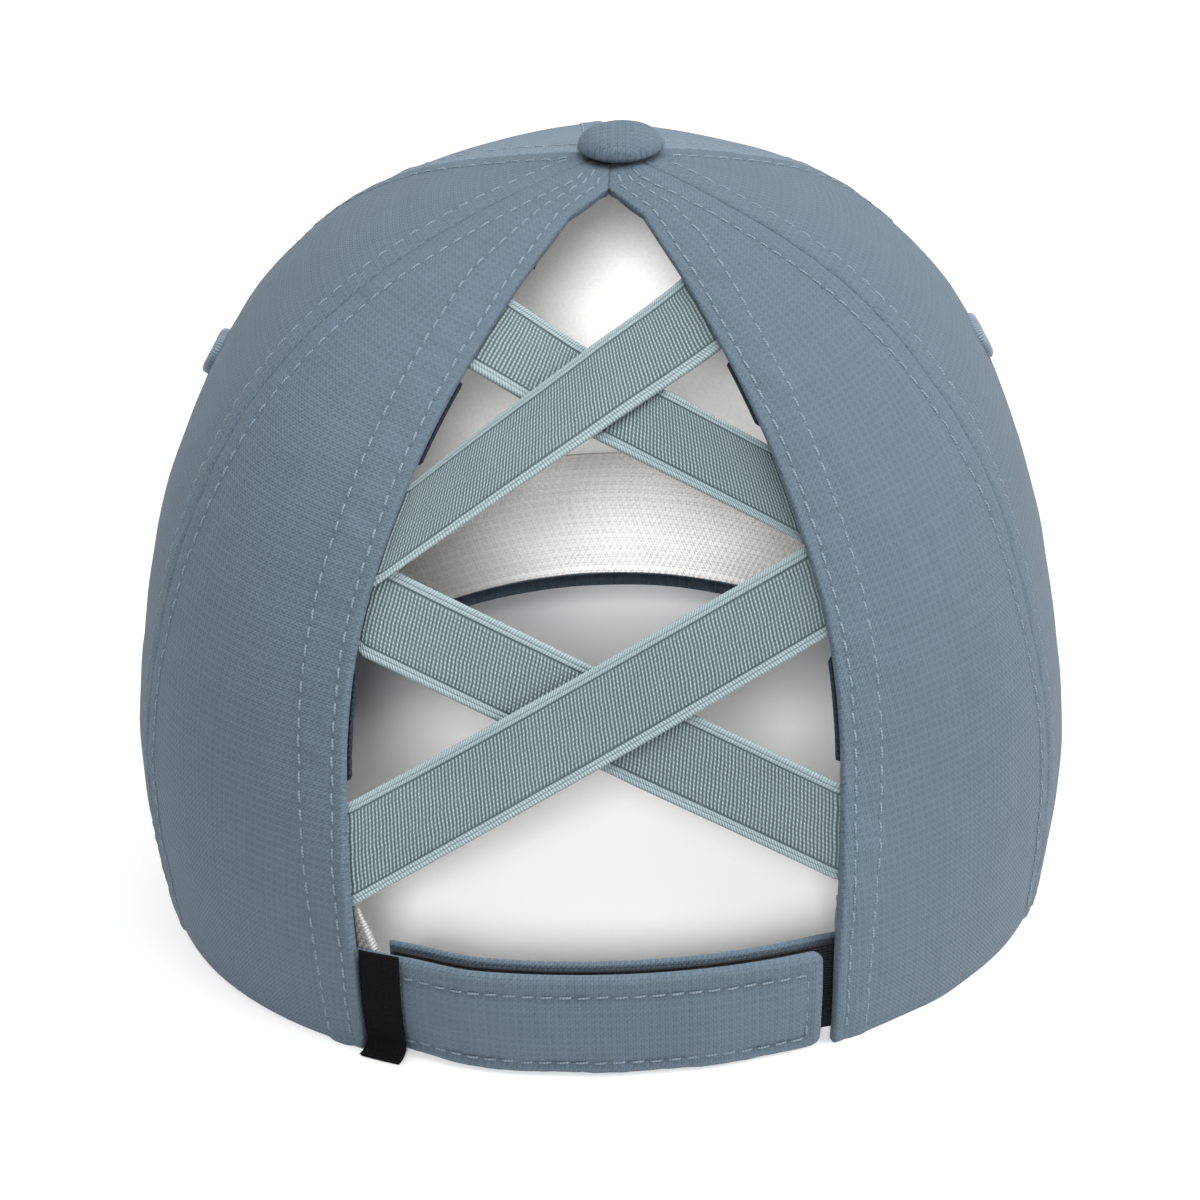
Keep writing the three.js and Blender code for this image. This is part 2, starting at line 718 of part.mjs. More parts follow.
for (const side of ['left', 'right']) {
  add(`panel_front_${side}`, panelGeometry(side, centreFrontTurn, frontSeamTurn), shellCloth);
  add(`panel_side_${side}`, sidePanelGeometry(side), shellCloth);
  add(`panel_back_${side}`, panelGeometry(side, backSeamTurn, hemTurn), shellCloth);
  add(`eyelet_${side}`, eyeletGeometry(side), threadCloth);
  add(`hem_tape_${side}`, hemTapeGeometry(side), blackCloth);
}
for (const band of bandEnds) add(band.name, bandGeometry(band), elasticCloth);
add('peak', peakGeometry(), shellCloth);
add('button', buttonGeometry(), shellCloth);
add('sweatband', sweatbandGeometry(), blackCloth);
add('closure_tab', outerTabGeometry(rest), shellCloth);
add('closure_strap', innerStrapGeometry(), shellCloth);
add('closure_loop', loopTapeGeometry(), blackCloth);
add('label', labelGeometry(rest), labelCloth);

// Leaned to rest, with the origin at the bottom centre of the whole cap
cap.rotation.x = -rest.lean;
cap.updateMatrixWorld(true);
const box = new THREE.Box3().setFromObject(cap, true);
cap.position.set(-(box.min.x + box.max.x) / 2, -(box.min.y + box.max.y) / 2, -box.min.z);
const part = new THREE.Group();
part.add(cap);
part.updateMatrixWorld(true);

export default part;
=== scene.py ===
# Ponytail baseball cap: finished cloth, webbing, thread and trim, built round the fixed frame.
# The shapes are worked out in millimetres in the cap's own frame, +Z up and the back at +Y,
# and toRest() leans them onto the table and turns them into metres.
import bpy
import numpy as np
from mathutils import Matrix


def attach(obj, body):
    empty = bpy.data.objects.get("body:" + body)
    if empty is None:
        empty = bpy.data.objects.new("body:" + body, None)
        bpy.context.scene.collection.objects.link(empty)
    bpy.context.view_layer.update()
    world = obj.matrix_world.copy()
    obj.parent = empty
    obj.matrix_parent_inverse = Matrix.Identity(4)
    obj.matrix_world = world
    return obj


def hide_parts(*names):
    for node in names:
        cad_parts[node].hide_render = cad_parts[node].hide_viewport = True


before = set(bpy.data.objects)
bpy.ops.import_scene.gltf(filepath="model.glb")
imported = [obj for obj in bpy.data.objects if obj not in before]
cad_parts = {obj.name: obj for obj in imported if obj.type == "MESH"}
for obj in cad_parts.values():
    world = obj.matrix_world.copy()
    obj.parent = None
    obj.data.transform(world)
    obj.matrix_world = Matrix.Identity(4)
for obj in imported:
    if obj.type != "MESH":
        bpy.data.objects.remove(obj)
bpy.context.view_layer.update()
print("frame loaded:", len(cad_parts), "nodes")

rest = {"lean": 7.417, "forward": 36.047, "lift": 7.953}  # degrees, and the shift onto the table

# Driving sizes of the crown and of its open back, in millimetres, degrees and shares

crown = {
    "halfWidth": 86.0, "backReach": 97.3, "frontReach": 101.0, "height": 121.7,
    "apexForward": 21.9, "apexSide": -4.2, "tipRise": 2.7, "tipSpread": 0.22,
    "sideFullness": 2.87, "backFullness": 1.74, "frontFullness": 2.63,
    "rimBack": 4.2, "rimFront": 3.3, "rimSideDrop": 7.6, "rimTuck": 0.058, "tuckRise": 0.435,
    "seamRidge": 0.025, "ridgeRise": 0.4, "wall": 1.2, "topHole": 4.2,
    "backSeamAtRim": 18.9, "backSeamAtTop": 26.5, "frontSeam": 31.2,
}

opening = {
    "halfTurn": 34.0, "top": 0.93, "arch": 0.05,
    "rises": [0.0, 0.11, 0.22, 0.32, 0.41, 0.54, 0.65, 0.75, 0.86, 0.95, 1.0],
    "turns": [0.86, 0.86, 0.91, 0.97, 1.0, 0.99, 0.96, 0.91, 0.83, 0.68, 0.55],
}

plyGap = 0.6  # between any two plies of cloth


# Camera: where the photograph was taken from, with its small roll

camera = {
    "target": (-0.4, 42.0, 54.0), "elevation": 19.88, "yaw": 1.54, "roll": -1.48,
    "distance": 736.7, "lens": 121.92,
}


def makeCamera():
    # looks at the target from a distance behind it, raised by the elevation and turned by the yaw
    up, round_, roll = np.radians([camera["elevation"], camera["yaw"], camera["roll"]])
    back = np.array([-np.sin(round_) * np.cos(up), np.cos(round_) * np.cos(up), np.sin(up)])
    level = np.cross(-back, (0, 0, 1))
    level /= np.linalg.norm(level)
    raised = np.cross(level, -back)
    right = level * np.cos(roll) + raised * np.sin(roll)
    over = raised * np.cos(roll) - level * np.sin(roll)
    data = bpy.data.cameras.new("camera")
    data.lens = camera["lens"]
    data.sensor_width = 36.0
    data.clip_end = 100.0
    eye = bpy.data.objects.new("camera", data)
    place = np.eye(4)
    place[:3, :3] = np.stack([right, over, back], 1)
    place[:3, 3] = (np.array(camera["target"]) + camera["distance"] * back) / 1000
    eye.matrix_world = Matrix(place.tolist())
    bpy.context.scene.collection.objects.link(eye)
    bpy.context.scene.camera = eye


# Node helpers

def plug(tree, socket, value):
    # a link where the value is another node's output, otherwise a fixed value
    if isinstance(value, bpy.types.NodeSocket):
        tree.links.new(value, socket)
    else:
        socket.default_value = value


def calc(tree, operation, *values):
    # one step of arithmetic
    node = tree.nodes.new("ShaderNodeMath")
    node.operation = operation
    for socket, value in zip(node.inputs, values):
        plug(tree, socket, value)
    return node.outputs[0]


def addAll(tree, *values):
    # sum of all the values
    total = values[0]
    for value in values[1:]:
        total = calc(tree, "ADD", total, value)
    return total


def times(tree, *values):
    # product of all the values
    total = values[0]
    for value in values[1:]:
        total = calc(tree, "MULTIPLY", total, value)
    return total


def blendColor(tree, factor, low, high):
    # low at factor 0 and high at factor 1
    node = tree.nodes.new("ShaderNodeMix")
    node.data_type = "RGBA"
    plug(tree, node.inputs["Factor"], factor)
    plug(tree, node.inputs["A"], low)
    plug(tree, node.inputs["B"], high)
    return node.outputs["Result"]


def remap(tree, value, fromLow, fromHigh, toLow, toHigh):
    # one range moved onto another, held at its ends
    node = tree.nodes.new("ShaderNodeMapRange")
    limits = {"From Min": fromLow, "From Max": fromHigh, "To Min": toLow, "To Max": toHigh}
    for label, number in limits.items():
        node.inputs[label].default_value = number
    plug(tree, node.inputs["Value"], value)
    return node.outputs["Result"]


def noise(tree, vector, scale, detail=2.0):
    # cloudy noise between 0 and 1
    node = tree.nodes.new("ShaderNodeTexNoise")
    node.inputs["Scale"].default_value = scale
    node.inputs["Detail"].default_value = detail
    plug(tree, node.inputs["Vector"], vector)
    return node.outputs["Fac"]


def scaled(tree, vector, factors):
    # the vector with each part times its own factor
    node = tree.nodes.new("ShaderNodeVectorMath")
    node.operation = "MULTIPLY"
    plug(tree, node.inputs[0], vector)
    node.inputs[1].default_value = factors
    return node.outputs[0]


def attribute(tree, name):
    # a value that each vertex of the piece carries
    node = tree.nodes.new("ShaderNodeAttribute")
    node.attribute_name = name
    return node.outputs["Fac"]


def clothVector(tree):
    # the piece's own map, in millimetres of cloth
    node = tree.nodes.new("ShaderNodeUVMap")
    node.uv_map = "cloth"
    return scaled(tree, node.outputs["UV"], (1000, 1000, 0))


def objectVector(tree):
    # the place in the whole cap, in metres
    return tree.nodes.new("ShaderNodeTexCoord").outputs["Object"]


def newGroup(name, inputs, outputs):
    # an empty node group with its sockets
    tree = bpy.data.node_groups.new(name, "ShaderNodeTree")
    for label, kind, value in inputs:
        socket = tree.interface.new_socket(label, in_out="INPUT", socket_type=kind)
        if value is not None:
            socket.default_value = value
    for label in outputs:
        tree.interface.new_socket(label, in_out="OUTPUT", socket_type="NodeSocketFloat")
    into = tree.nodes.new("NodeGroupInput").outputs
    out = tree.nodes.new("NodeGroupOutput").inputs
    return tree, into, out


def useGroup(tree, group, **values):
    # a node group in a material, its sockets filled by name
    node = tree.nodes.new("ShaderNodeGroup")
    node.node_tree = group
    for label, value in values.items():
        plug(tree, node.inputs[label], value)
    return node.outputs


def sineOf(tree, value, period, shift=0.0):
    # sine of value over a period
    turns = calc(tree, "MULTIPLY_ADD", value, 2 * np.pi / period, shift)
    return calc(tree, "SINE", turns)


def weaveGroup():
    # plain weave: warp and weft threads as two rows of half sines that take turns on top, each
    # thread in its own shade, with a thicker thread every few in both directions
    tree, into, out = newGroup(
        "plainWeave",
        [
            ("Vector", "NodeSocketVector", None),
            ("Pitch", "NodeSocketFloat", 0.45),
            ("Check", "NodeSocketFloat", 3.0),
        ],
        ["Height", "Tone"],
    )
    split = tree.nodes.new("ShaderNodeSeparateXYZ")
    tree.links.new(into["Vector"], split.inputs[0])
    waves, shades, checks = [], [], []
    for axis in "XY":
        place = calc(tree, "DIVIDE", split.outputs[axis], into["Pitch"])
        waves.append(calc(tree, "SINE", times(tree, place, float(np.pi))))
        own = tree.nodes.new("ShaderNodeTexWhiteNoise")
        own.noise_dimensions = "1D"
        plug(tree, own.inputs["W"], calc(tree, "FLOOR", place))
        shades.append(own.outputs["Value"])
        checkTurns = times(tree, calc(tree, "DIVIDE", place, into["Check"]), 2 * float(np.pi))
        ridge = remap(tree, calc(tree, "COSINE", checkTurns), -1, 1, 0, 1)
        checks.append(calc(tree, "POWER", ridge, 3.0))
    onTop = calc(tree, "GREATER_THAN", times(tree, *waves), 0.0)
    below = calc(tree, "SUBTRACT", 1.0, onTop)
    threads = addAll(
        tree,
        times(tree, onTop, calc(tree, "ABSOLUTE", waves[0])),
        times(tree, below, calc(tree, "ABSOLUTE", waves[1])),
    )
    shade = addAll(tree, times(tree, onTop, shades[0]), times(tree, below, shades[1]))
    check = calc(tree, "MAXIMUM", *checks)
    slubs = noise(tree, scaled(tree, into["Vector"], (1.4, 0.5, 1)), 1.0, 1.0)
    plug(tree, out["Height"], addAll(tree, threads, times(tree, check, 0.7), times(tree, slubs, 0.4)))
    tone = addAll(
        tree, times(tree, threads, 0.4), times(tree, shade, 0.16), times(tree, check, 0.2),
        times(tree, slubs, 0.16), 0.05,
    )
    plug(tree, out["Tone"], tone)
    return tree


def webbingGroup():
    # elastic webbing: cross ribs beaded by the threads along them, and at each edge two cords
    # with slanting turns, a thin line between them and a groove beside the ribs
    tree, into, out = newGroup(
        "ribbedWebbing",
        [
            ("Vector", "NodeSocketVector", None),
            ("Edge", "NodeSocketFloat", 5.0),
            ("Rib", "NodeSocketFloat", 0.67),
            ("Cord", "NodeSocketFloat", 1.05),
            ("Selvage", "NodeSocketFloat", 1.95),
        ],
        ["Height", "Tone"],
    )
    split = tree.nodes.new("ShaderNodeSeparateXYZ")
    tree.links.new(into["Vector"], split.inputs[0])
    drift = times(tree, noise(tree, scaled(tree, into["Vector"], (0.12, 0.3, 1)), 1.0), 0.5)
    along = addAll(tree, split.outputs["X"], drift)
    ribTurns = times(tree, calc(tree, "DIVIDE", along, into["Rib"]), 2 * float(np.pi))
    rib = remap(tree, calc(tree, "SINE", ribTurns), -1, 1, 0, 1)
    bead = remap(tree, sineOf(tree, split.outputs["Y"], 0.72), -1, 1, 0.5, 1)
    body = times(tree, rib, bead)
    turns = calc(tree, "MULTIPLY_ADD", into["Edge"], 0.5, split.outputs["X"])
    cord = remap(tree, sineOf(tree, turns, 0.52), -1, 1, 0.5, 0.95)
    fromCord = calc(tree, "ABSOLUTE", calc(tree, "SUBTRACT", into["Edge"], into["Cord"]))
    fromGroove = calc(tree, "SUBTRACT", into["Edge"], into["Selvage"])
    thinLine = remap(tree, fromCord, 0.04, 0.16, 1, 0)
    groove = remap(tree, calc(tree, "ABSOLUTE", fromGroove), 0.1, 0.26, 1, 0)
    inBody = remap(tree, fromGroove, -0.05, 0.05, 0, 1)
    mixed = addAll(tree, times(tree, body, inBody), times(tree, cord, calc(tree, "SUBTRACT", 1.0, inBody)))
    besideGroove = calc(tree, "MULTIPLY_ADD", groove, -0.9, 1.0)
    besideLine = calc(tree, "MULTIPLY_ADD", thinLine, -0.45, 1.0)
    cut = times(tree, mixed, besideGroove, besideLine)
    plug(tree, out["Height"], cut)
    plug(tree, out["Tone"], cut)
    return tree


def patchGroup():
    # slow change of shade over the whole cap, with a finer mottle in it
    tree, into, out = newGroup("patchyShade", [("Vector", "NodeSocketVector", None)], ["Tone"])
    broad = noise(tree, into["Vector"], 22.0, 2.0)
    fine = noise(tree, into["Vector"], 160.0, 2.0)
    plug(tree, out["Tone"], addAll(tree, times(tree, broad, 0.6), times(tree, fine, 0.4)))
    return tree


def newMaterial(name, roughness, sheen=0.0, specular=0.2):
    # cloth-like surface to which a finish is added
    material = bpy.data.materials.new(name)
    material.use_nodes = True
    tree = material.node_tree
    shader = tree.nodes["Principled BSDF"]
    shader.inputs["Roughness"].default_value = roughness
    shader.inputs["Sheen Weight"].default_value = sheen
    shader.inputs["Sheen Roughness"].default_value = 0.45
    shader.inputs["Specular IOR Level"].default_value = specular
    return material, tree, shader


def bumpFrom(tree, shader, height, depth, strength):
    # depth in millimetres
    node = tree.nodes.new("ShaderNodeBump")
    node.inputs["Strength"].default_value = strength
    node.inputs["Distance"].default_value = depth / 1000
    tree.links.new(height, node.inputs["Height"])
    tree.links.new(node.outputs["Normal"], shader.inputs["Normal"])


shellLook = {
    "pitch": 0.45, "check": 3.0, "dark": (0.062, 0.088, 0.112, 1), "light": (0.118, 0.164, 0.21, 1),
    "insideDark": (0.72, 0.72, 0.71, 1), "insideLight": (0.86, 0.86, 0.85, 1),
    "bump": 0.1, "roughness": 0.72,
}


def shellMaterial(weave, patches):
    # woven cloth outside; inside, a pale bonded backing
    material, tree, shader = newMaterial("shellCloth", shellLook["roughness"], 0.06)
    vector = clothVector(tree)
    threads = useGroup(tree, weave, Vector=vector, Pitch=shellLook["pitch"], Check=shellLook["check"])
    patch = useGroup(tree, patches, Vector=objectVector(tree))["Tone"]
    tone = addAll(tree, times(tree, threads["Tone"], 0.95), times(tree, patch, 0.35), -0.12)
    outside = blendColor(tree, tone, shellLook["dark"], shellLook["light"])
    fibres = noise(tree, scaled(tree, vector, (1.1, 1.1, 1)), 1.0, 3.0)
    inside = blendColor(tree, fibres, shellLook["insideDark"], shellLook["insideLight"])
    isInside = attribute(tree, "inside")
    tree.links.new(blendColor(tree, isInside, outside, inside), shader.inputs["Base Color"])
    tree.links.new(remap(tree, threads["Tone"], 0, 1, 0.8, 0.64), shader.inputs["Roughness"])
    weft = times(tree, threads["Height"], calc(tree, "SUBTRACT", 1.0, isInside))
    height = addAll(tree, weft, times(tree, fibres, isInside))
    bumpFrom(tree, shader, height, shellLook["bump"], 0.85)
    return material


webbingLook = {
    "rib": 0.67, "cord": 1.05, "selvage": 1.95, "dark": (0.054, 0.086, 0.094, 1),
    "light": (0.36, 0.45, 0.47, 1), "bump": 0.3,
}


def webbingMaterial(webbing, patches):
    # grey threads over dark elastic, shaded by the ribs
    material, tree, shader = newMaterial("elasticWebbing", 0.7, 0.05)
    ribs = useGroup(
        tree, webbing, Vector=clothVector(tree), Edge=attribute(tree, "edge"),
        Rib=webbingLook["rib"], Cord=webbingLook["cord"], Selvage=webbingLook["selvage"],
    )
    patch = useGroup(tree, patches, Vector=objectVector(tree))["Tone"]
    tone = addAll(tree, ribs["Tone"], times(tree, patch, 0.2), -0.1)
    color = blendColor(tree, tone, webbingLook["dark"], webbingLook["light"])
    tree.links.new(color, shader.inputs["Base Color"])
    bumpFrom(tree, shader, ribs["Height"], webbingLook["bump"], 0.9)
    return material


trimLook = {
    "hemTape": {
        "dark": (0.006, 0.009, 0.014, 1), "light": (0.035, 0.047, 0.065, 1), "outerPaintedShade": 1.0,
        "pitch": 0.5, "bump": 0.15, "roughness": 0.8, "specular": 0.1,
    },
    # the sweatband's outer face is darkened to about a quarter: painted shade on its end that shows in the
    # open back
    "sweatKnit": {
        "dark": (0.4, 0.39, 0.39, 1), "light": (0.58, 0.57, 0.56, 1), "outerPaintedShade": 0.24,
        "pitch": 0.6, "bump": 0.15, "roughness": 0.85, "specular": 0.1,
    },
    "labelWeave": {
        "dark": (0.0025, 0.0025, 0.003, 1), "light": (0.008, 0.0083, 0.0095, 1), "outerPaintedShade": 1.0,
        "pitch": 0.36, "bump": 0.08, "roughness": 0.85, "specular": 0.04,
    },
}


def trimMaterial(name, weave):
    # a woven or knitted trim in one shade; where its look gives an outer painted shade, its outer face is
    # darkened by that share as painted shade
    look = trimLook[name]
    material, tree, shader = newMaterial(name, look["roughness"], 0.0, look["specular"])
    threads = useGroup(tree, weave, Vector=clothVector(tree), Pitch=look["pitch"])
    tone = addAll(tree, times(tree, threads["Tone"], 1.1), -0.05)
    color = blendColor(tree, tone, look["dark"], look["light"])
    if look["outerPaintedShade"] < 1:
        shaded = [[look["outerPaintedShade"] * v for v in look[end][:3]] + [1] for end in ("dark", "light")]
        color = blendColor(tree, attribute(tree, "inside"), blendColor(tree, tone, *shaded), color)
    tree.links.new(color, shader.inputs["Base Color"])
    bumpFrom(tree, shader, threads["Height"], look["bump"], 0.9)
    return material


pileLook = {"dark": (0.004, 0.005, 0.006, 1), "light": (0.026, 0.028, 0.032, 1)}


def pileMaterial():
    # loop tape: short black loops in close rows
    material, tree, shader = newMaterial("loopPile", 0.9, 0.04, 0.08)
    vector = clothVector(tree)
    split = tree.nodes.new("ShaderNodeSeparateXYZ")
    tree.links.new(vector, split.inputs[0])
    rows = remap(tree, sineOf(tree, split.outputs["Y"], 0.55), -1, 1, 0, 1)
    fuzz = noise(tree, scaled(tree, vector, (2.2, 1.4, 1)), 1.0, 3.0)
    height = addAll(tree, times(tree, rows, 0.5), fuzz)
    tone = remap(tree, height, 0.35, 1.15, 0, 1)
    color = blendColor(tree, tone, pileLook["dark"], pileLook["light"])
    tree.links.new(color, shader.inputs["Base Color"])
    bumpFrom(tree, shader, height, 0.35, 1.0)
    return material


threadLook = {"dark": (0.022, 0.032, 0.042, 1), "light": (0.21, 0.275, 0.335, 1), "twist": 0.55}


def threadMaterial():
    # twisted thread: slanting strands, with painted shade where each stitch dives into its needle hole and
    # over each needle hole
    material, tree, shader = newMaterial("sewingThread", 0.55, 0.1)
    node = tree.nodes.new("ShaderNodeUVMap")
    node.uv_map = "cloth"
    split = tree.nodes.new("ShaderNodeSeparateXYZ")
    tree.links.new(node.outputs["UV"], split.inputs[0])
    along = times(tree, split.outputs["X"], 1000.0)
    slant = calc(tree, "MULTIPLY_ADD", split.outputs["Y"], threadLook["twist"], along)
    strand = remap(tree, sineOf(tree, slant, threadLook["twist"]), -1, 1, 0.55, 1)
    dive = attribute(tree, "dive")
    tone = times(tree, strand, calc(tree, "SUBTRACT", 1.0, dive))
    color = blendColor(tree, tone, threadLook["dark"], threadLook["light"])
    tree.links.new(color, shader.inputs["Base Color"])
    bumpFrom(tree, shader, strand, 0.08, 0.7)
    return material


def floorMaterial():
    # matt white with a faint fleck
    material, tree, shader = newMaterial("paleFloor", 0.9)
    fleck = noise(tree, objectVector(tree), 3.0, 2.0)
    color = blendColor(tree, fleck, (0.93, 0.93, 0.93, 1), (0.95, 0.95, 0.95, 1))
    tree.links.new(color, shader.inputs["Base Color"])
    return material


# Shape helpers

def lerp(low, high, share):
    # straight mix of low and high
    return low + (high - low) * share


def smooth(low, high, value):
    # 0 below low, 1 above high, and a cubic step between
    share = np.clip((value - low) / (high - low), 0, 1)
    return share * share * (3 - 2 * share)


def bell(value, centre, width):
    # one at the centre, falling off as exp of minus the square
    return np.exp(-((value - centre) / width) ** 2)


def unit(vectors):
    # each vector divided by its length
    return vectors / np.maximum(np.linalg.norm(vectors, axis=-1, keepdims=True), 1e-12)


def lengthsAlong(points, axis):
    # running length of the grid lines along one axis
    steps = np.linalg.norm(np.diff(points, axis=axis), axis=-1)
    start = np.zeros_like(np.take(steps, [0], axis=axis))
    return np.concatenate([start, np.cumsum(steps, axis=axis)], axis=axis)


def curveThrough(places, values, at):
    # smooth curve through a table: cubic between rows, with each slope taken from its neighbours
    places, values = np.array(places), np.array(values)
    slopes = np.gradient(values, places)
    index = np.clip(np.searchsorted(places, at) - 1, 0, len(places) - 2)
    span = places[index + 1] - places[index]
    share = np.clip((at - places[index]) / span, 0, 1)
    low, high = values[index], values[index + 1]
    startSlope, endSlope = slopes[index] * span, slopes[index + 1] * span
    bend = 2 * low - 2 * high + startSlope + endSlope
    turnBack = 3 * high - 3 * low - 2 * startSlope - endSlope
    return ((bend * share + turnBack) * share + startSlope) * share + low


def ripple(points, wavelength, seed, count=8):
    # sum of sine waves that run through the points in random directions, about one high
    random = np.random.default_rng(seed)
    total = np.zeros(points.shape[:-1])
    for _ in range(count):
        heading = unit(random.normal(size=points.shape[-1]))
        length = wavelength * random.uniform(0.7, 1.5)
        total += np.sin(2 * np.pi * (points @ heading) / length + random.uniform(0, 2 * np.pi))
    return total / np.sqrt(count)


def onCloth(along, across):
    # places on the flat cloth, for a ripple that follows it
    return np.stack(np.broadcast_arrays(along, across), -1)


def toRest(points):
    # turned round the x axis by the lean, then moved, and in metres
    lean = np.radians(rest["lean"])
    x, y, z = np.moveaxis(points, -1, 0)
    leaned = [
        x,
        y * np.cos(lean) + z * np.sin(lean) + rest["forward"],
        z * np.cos(lean) - y * np.sin(lean) + rest["lift"],
    ]
    return np.stack(leaned, -1) / 1000


# Crown surface: a superellipse meridian over an oval rim, drawn in at the rim and pinched
# a little between the seams

def crownPoint(turn, rise):
    # turn is in degrees round the crown and rise goes from 0 at the rim to 1 at the top: height and
    # spread lie on a superellipse, |spread|^n + |height|^n = 1, whose power n changes round the rim
    angle = np.radians(turn)
    side, back = np.cos(angle), np.sin(angle)
    endFullness = np.where(back > 0, crown["backFullness"], crown["frontFullness"])
    fullness = crown["sideFullness"] * side**2 + endFullness * back**2
    across = np.maximum(np.cos(rise * np.pi / 2), 0)
    upward = np.sin(rise * np.pi / 2)
    stretch = (across**fullness + upward**fullness) ** (-1 / fullness)
    height = stretch * upward
    tuck = crown["rimTuck"] * np.maximum(1 - height / crown["tuckRise"], 0) ** 2
    flat = crown["seamRidge"] * np.cos(3 * angle) ** 2 * np.minimum(height / crown["ridgeRise"], 1) ** 2
    spread = stretch * across * (1 - tuck) * (1 - flat)
    reach = np.where(back > 0, crown["backReach"], crown["frontReach"])
    rimHeight = lerp(crown["rimBack"], crown["rimFront"], (1 - back) / 2) - crown["rimSideDrop"] * side**2
    tip = crown["tipRise"] * np.exp(-((spread / crown["tipSpread"]) ** 2))
    return np.stack([
        spread * crown["halfWidth"] * side + (1 - spread) * crown["apexSide"],
        spread * reach * back - (1 - spread) * crown["apexForward"],
        lerp(rimHeight, crown["height"], height) + tip,
    ], -1)


def crownNormal(turn, rise):
    # cross product of the surface's steps round and up
    around = crownPoint(turn + 0.5, rise) - crownPoint(turn - 0.5, rise)
    up = crownPoint(turn, np.minimum(rise + 0.004, 1)) - crownPoint(turn, np.maximum(rise - 0.004, 0))
    return unit(np.cross(around, up))


def crownInside(turn, rise, depth):
    # points at a depth under the crown's surface
    return crownPoint(turn, rise) - crownNormal(turn, rise) * np.asarray(depth)[..., None]


def turnFor(turn, rise, length):
    # degrees of turn that go with a length round the crown
    perDegree = np.linalg.norm(crownPoint(turn + 0.5, rise) - crownPoint(turn - 0.5, rise), axis=-1)
    return length / perDegree


climbRises = np.linspace(0, 1, 401)


def riseAfter(turn, length):
    # rise reached by climbing a length up the crown; turn and length broadcast together
    turn, length = np.broadcast_arrays(np.asarray(turn, float), np.asarray(length, float))
    climbed = lengthsAlong(crownPoint(turn[..., None], climbRises), turn.ndim)
    below = (climbed < length[..., None]).sum(-1).clip(1, len(climbRises) - 1)
    low = np.take_along_axis(climbed, (below - 1)[..., None], -1)[..., 0]
    high = np.take_along_axis(climbed, below[..., None], -1)[..., 0]
    share = np.clip((length - low) / (high - low), 0, 1)
    return lerp(climbRises[below - 1], climbRises[below], share)


def riseAtRadius(turn, radius):
    # rise at which the crown is a radius from its top, by halving
    low, high = np.full(np.shape(turn), 0.5), np.ones(np.shape(turn))
    for _ in range(24):
        middle = (low + high) / 2
        point = crownPoint(turn, middle)
        outside = np.hypot(point[..., 0] - crown["apexSide"], point[..., 1] + crown["apexForward"]) > radius
        low, high = np.where(outside, middle, low), np.where(outside, high, middle)
    return low


def openHalf(rise):
    # half turn of the open back at a rise, before its top closes in an arch
    return opening["halfTurn"] * curveThrough(opening["rises"], opening["turns"], rise / opening["top"])


def halfOpening(rise):
    # the open half turn, closed over its last stretch by the square root of what is left
    return openHalf(rise) * np.sqrt(np.clip((opening["top"] - rise) / opening["arch"], 0, 1))


def hemTurn(rise):
    # the hem lies half an opening away from the middle of the back
    return 90 - halfOpening(rise)


def backSeamTurn(rise):
    # the back seam leans from the rim to the top
    return lerp(crown["backSeamAtRim"], crown["backSeamAtTop"], rise)


def frontSeamTurn(rise):
    # the front seam keeps one turn
    return np.full(np.shape(rise), -crown["frontSeam"])


def centreFrontTurn(rise):
    # the middle of the front
    return np.full(np.shape(rise), -90.0)


def onSide(side, turn):
    # the same turn, or its mirror image on the right
    return turn if side == "left" else 180 - turn


# Mesh builders

def gridQuads(rows, columns, first=0):
    # faces of a grid whose vertices are numbered row by row
    index = np.arange(rows * columns).reshape(rows, columns) + first
    return np.stack([index[:-1, :-1], index[:-1, 1:], index[1:, 1:], index[1:, :-1]], -1)


def tubeQuads(index):
    # faces of a tube, from its vertex numbers in rows of one ring each
    ahead = np.roll(index, -1, 1)
    return np.stack([index[:-1], ahead[:-1], ahead[1:], index[1:]], -1).reshape(-1, 4)


def borderOf(rowLow, rowHigh, columnLow, columnHigh, columns):
    # vertex numbers round a block of the grid, in the way that its faces turn
    index = lambda row, column: row * columns + column
    bottom = index(rowLow, np.arange(columnLow, columnHigh))
    right = index(np.arange(rowLow, rowHigh), columnHigh)
    top = index(rowHigh, np.arange(columnHigh, columnLow, -1))
    left = index(np.arange(rowHigh, rowLow, -1), columnLow)
    return np.concatenate([bottom, right, top, left])


def strip(loop, shift):
    # faces that join a closed line of vertices to the same line in the other layer
    ahead = np.roll(loop, -1)
    return np.stack([ahead, loop, loop + shift, ahead + shift], -1)


def finishPiece(name, points, quads, uv, values, material):
    # points in metres; faces are turned outwards by the sign of the volume they enclose
    a, b, c, d = (points[quads[:, k]] for k in range(4))
    volume = (np.cross(b - a, c - a) * a).sum() + (np.cross(c - a, d - a) * a).sum()
    if volume < 0:
        quads = quads[:, ::-1]
    mesh = bpy.data.meshes.new(name)
    mesh.vertices.add(len(points))
    mesh.vertices.foreach_set("co", points.astype(np.float32).ravel())
    mesh.loops.add(quads.size)
    mesh.loops.foreach_set("vertex_index", quads.astype(np.int32).ravel())
    mesh.polygons.add(len(quads))
    mesh.polygons.foreach_set("loop_start", np.arange(0, quads.size, 4, dtype=np.int32))
    mesh.polygons.foreach_set("use_smooth", np.ones(len(quads), bool))
    mesh.update(calc_edges=True)
    layer = mesh.uv_layers.new(name="cloth")
    layer.uv.foreach_set("vector", (uv[quads.ravel()] / 1000).astype(np.float32).ravel())
    for label, numbers in values.items():
        data = mesh.attributes.new(label, "FLOAT", "POINT").data
        data.foreach_set("value", numbers.astype(np.float32).ravel())
    mesh.materials.append(material)
    piece = bpy.data.objects.new(name, mesh)
    bpy.context.scene.collection.objects.link(piece)
    return piece


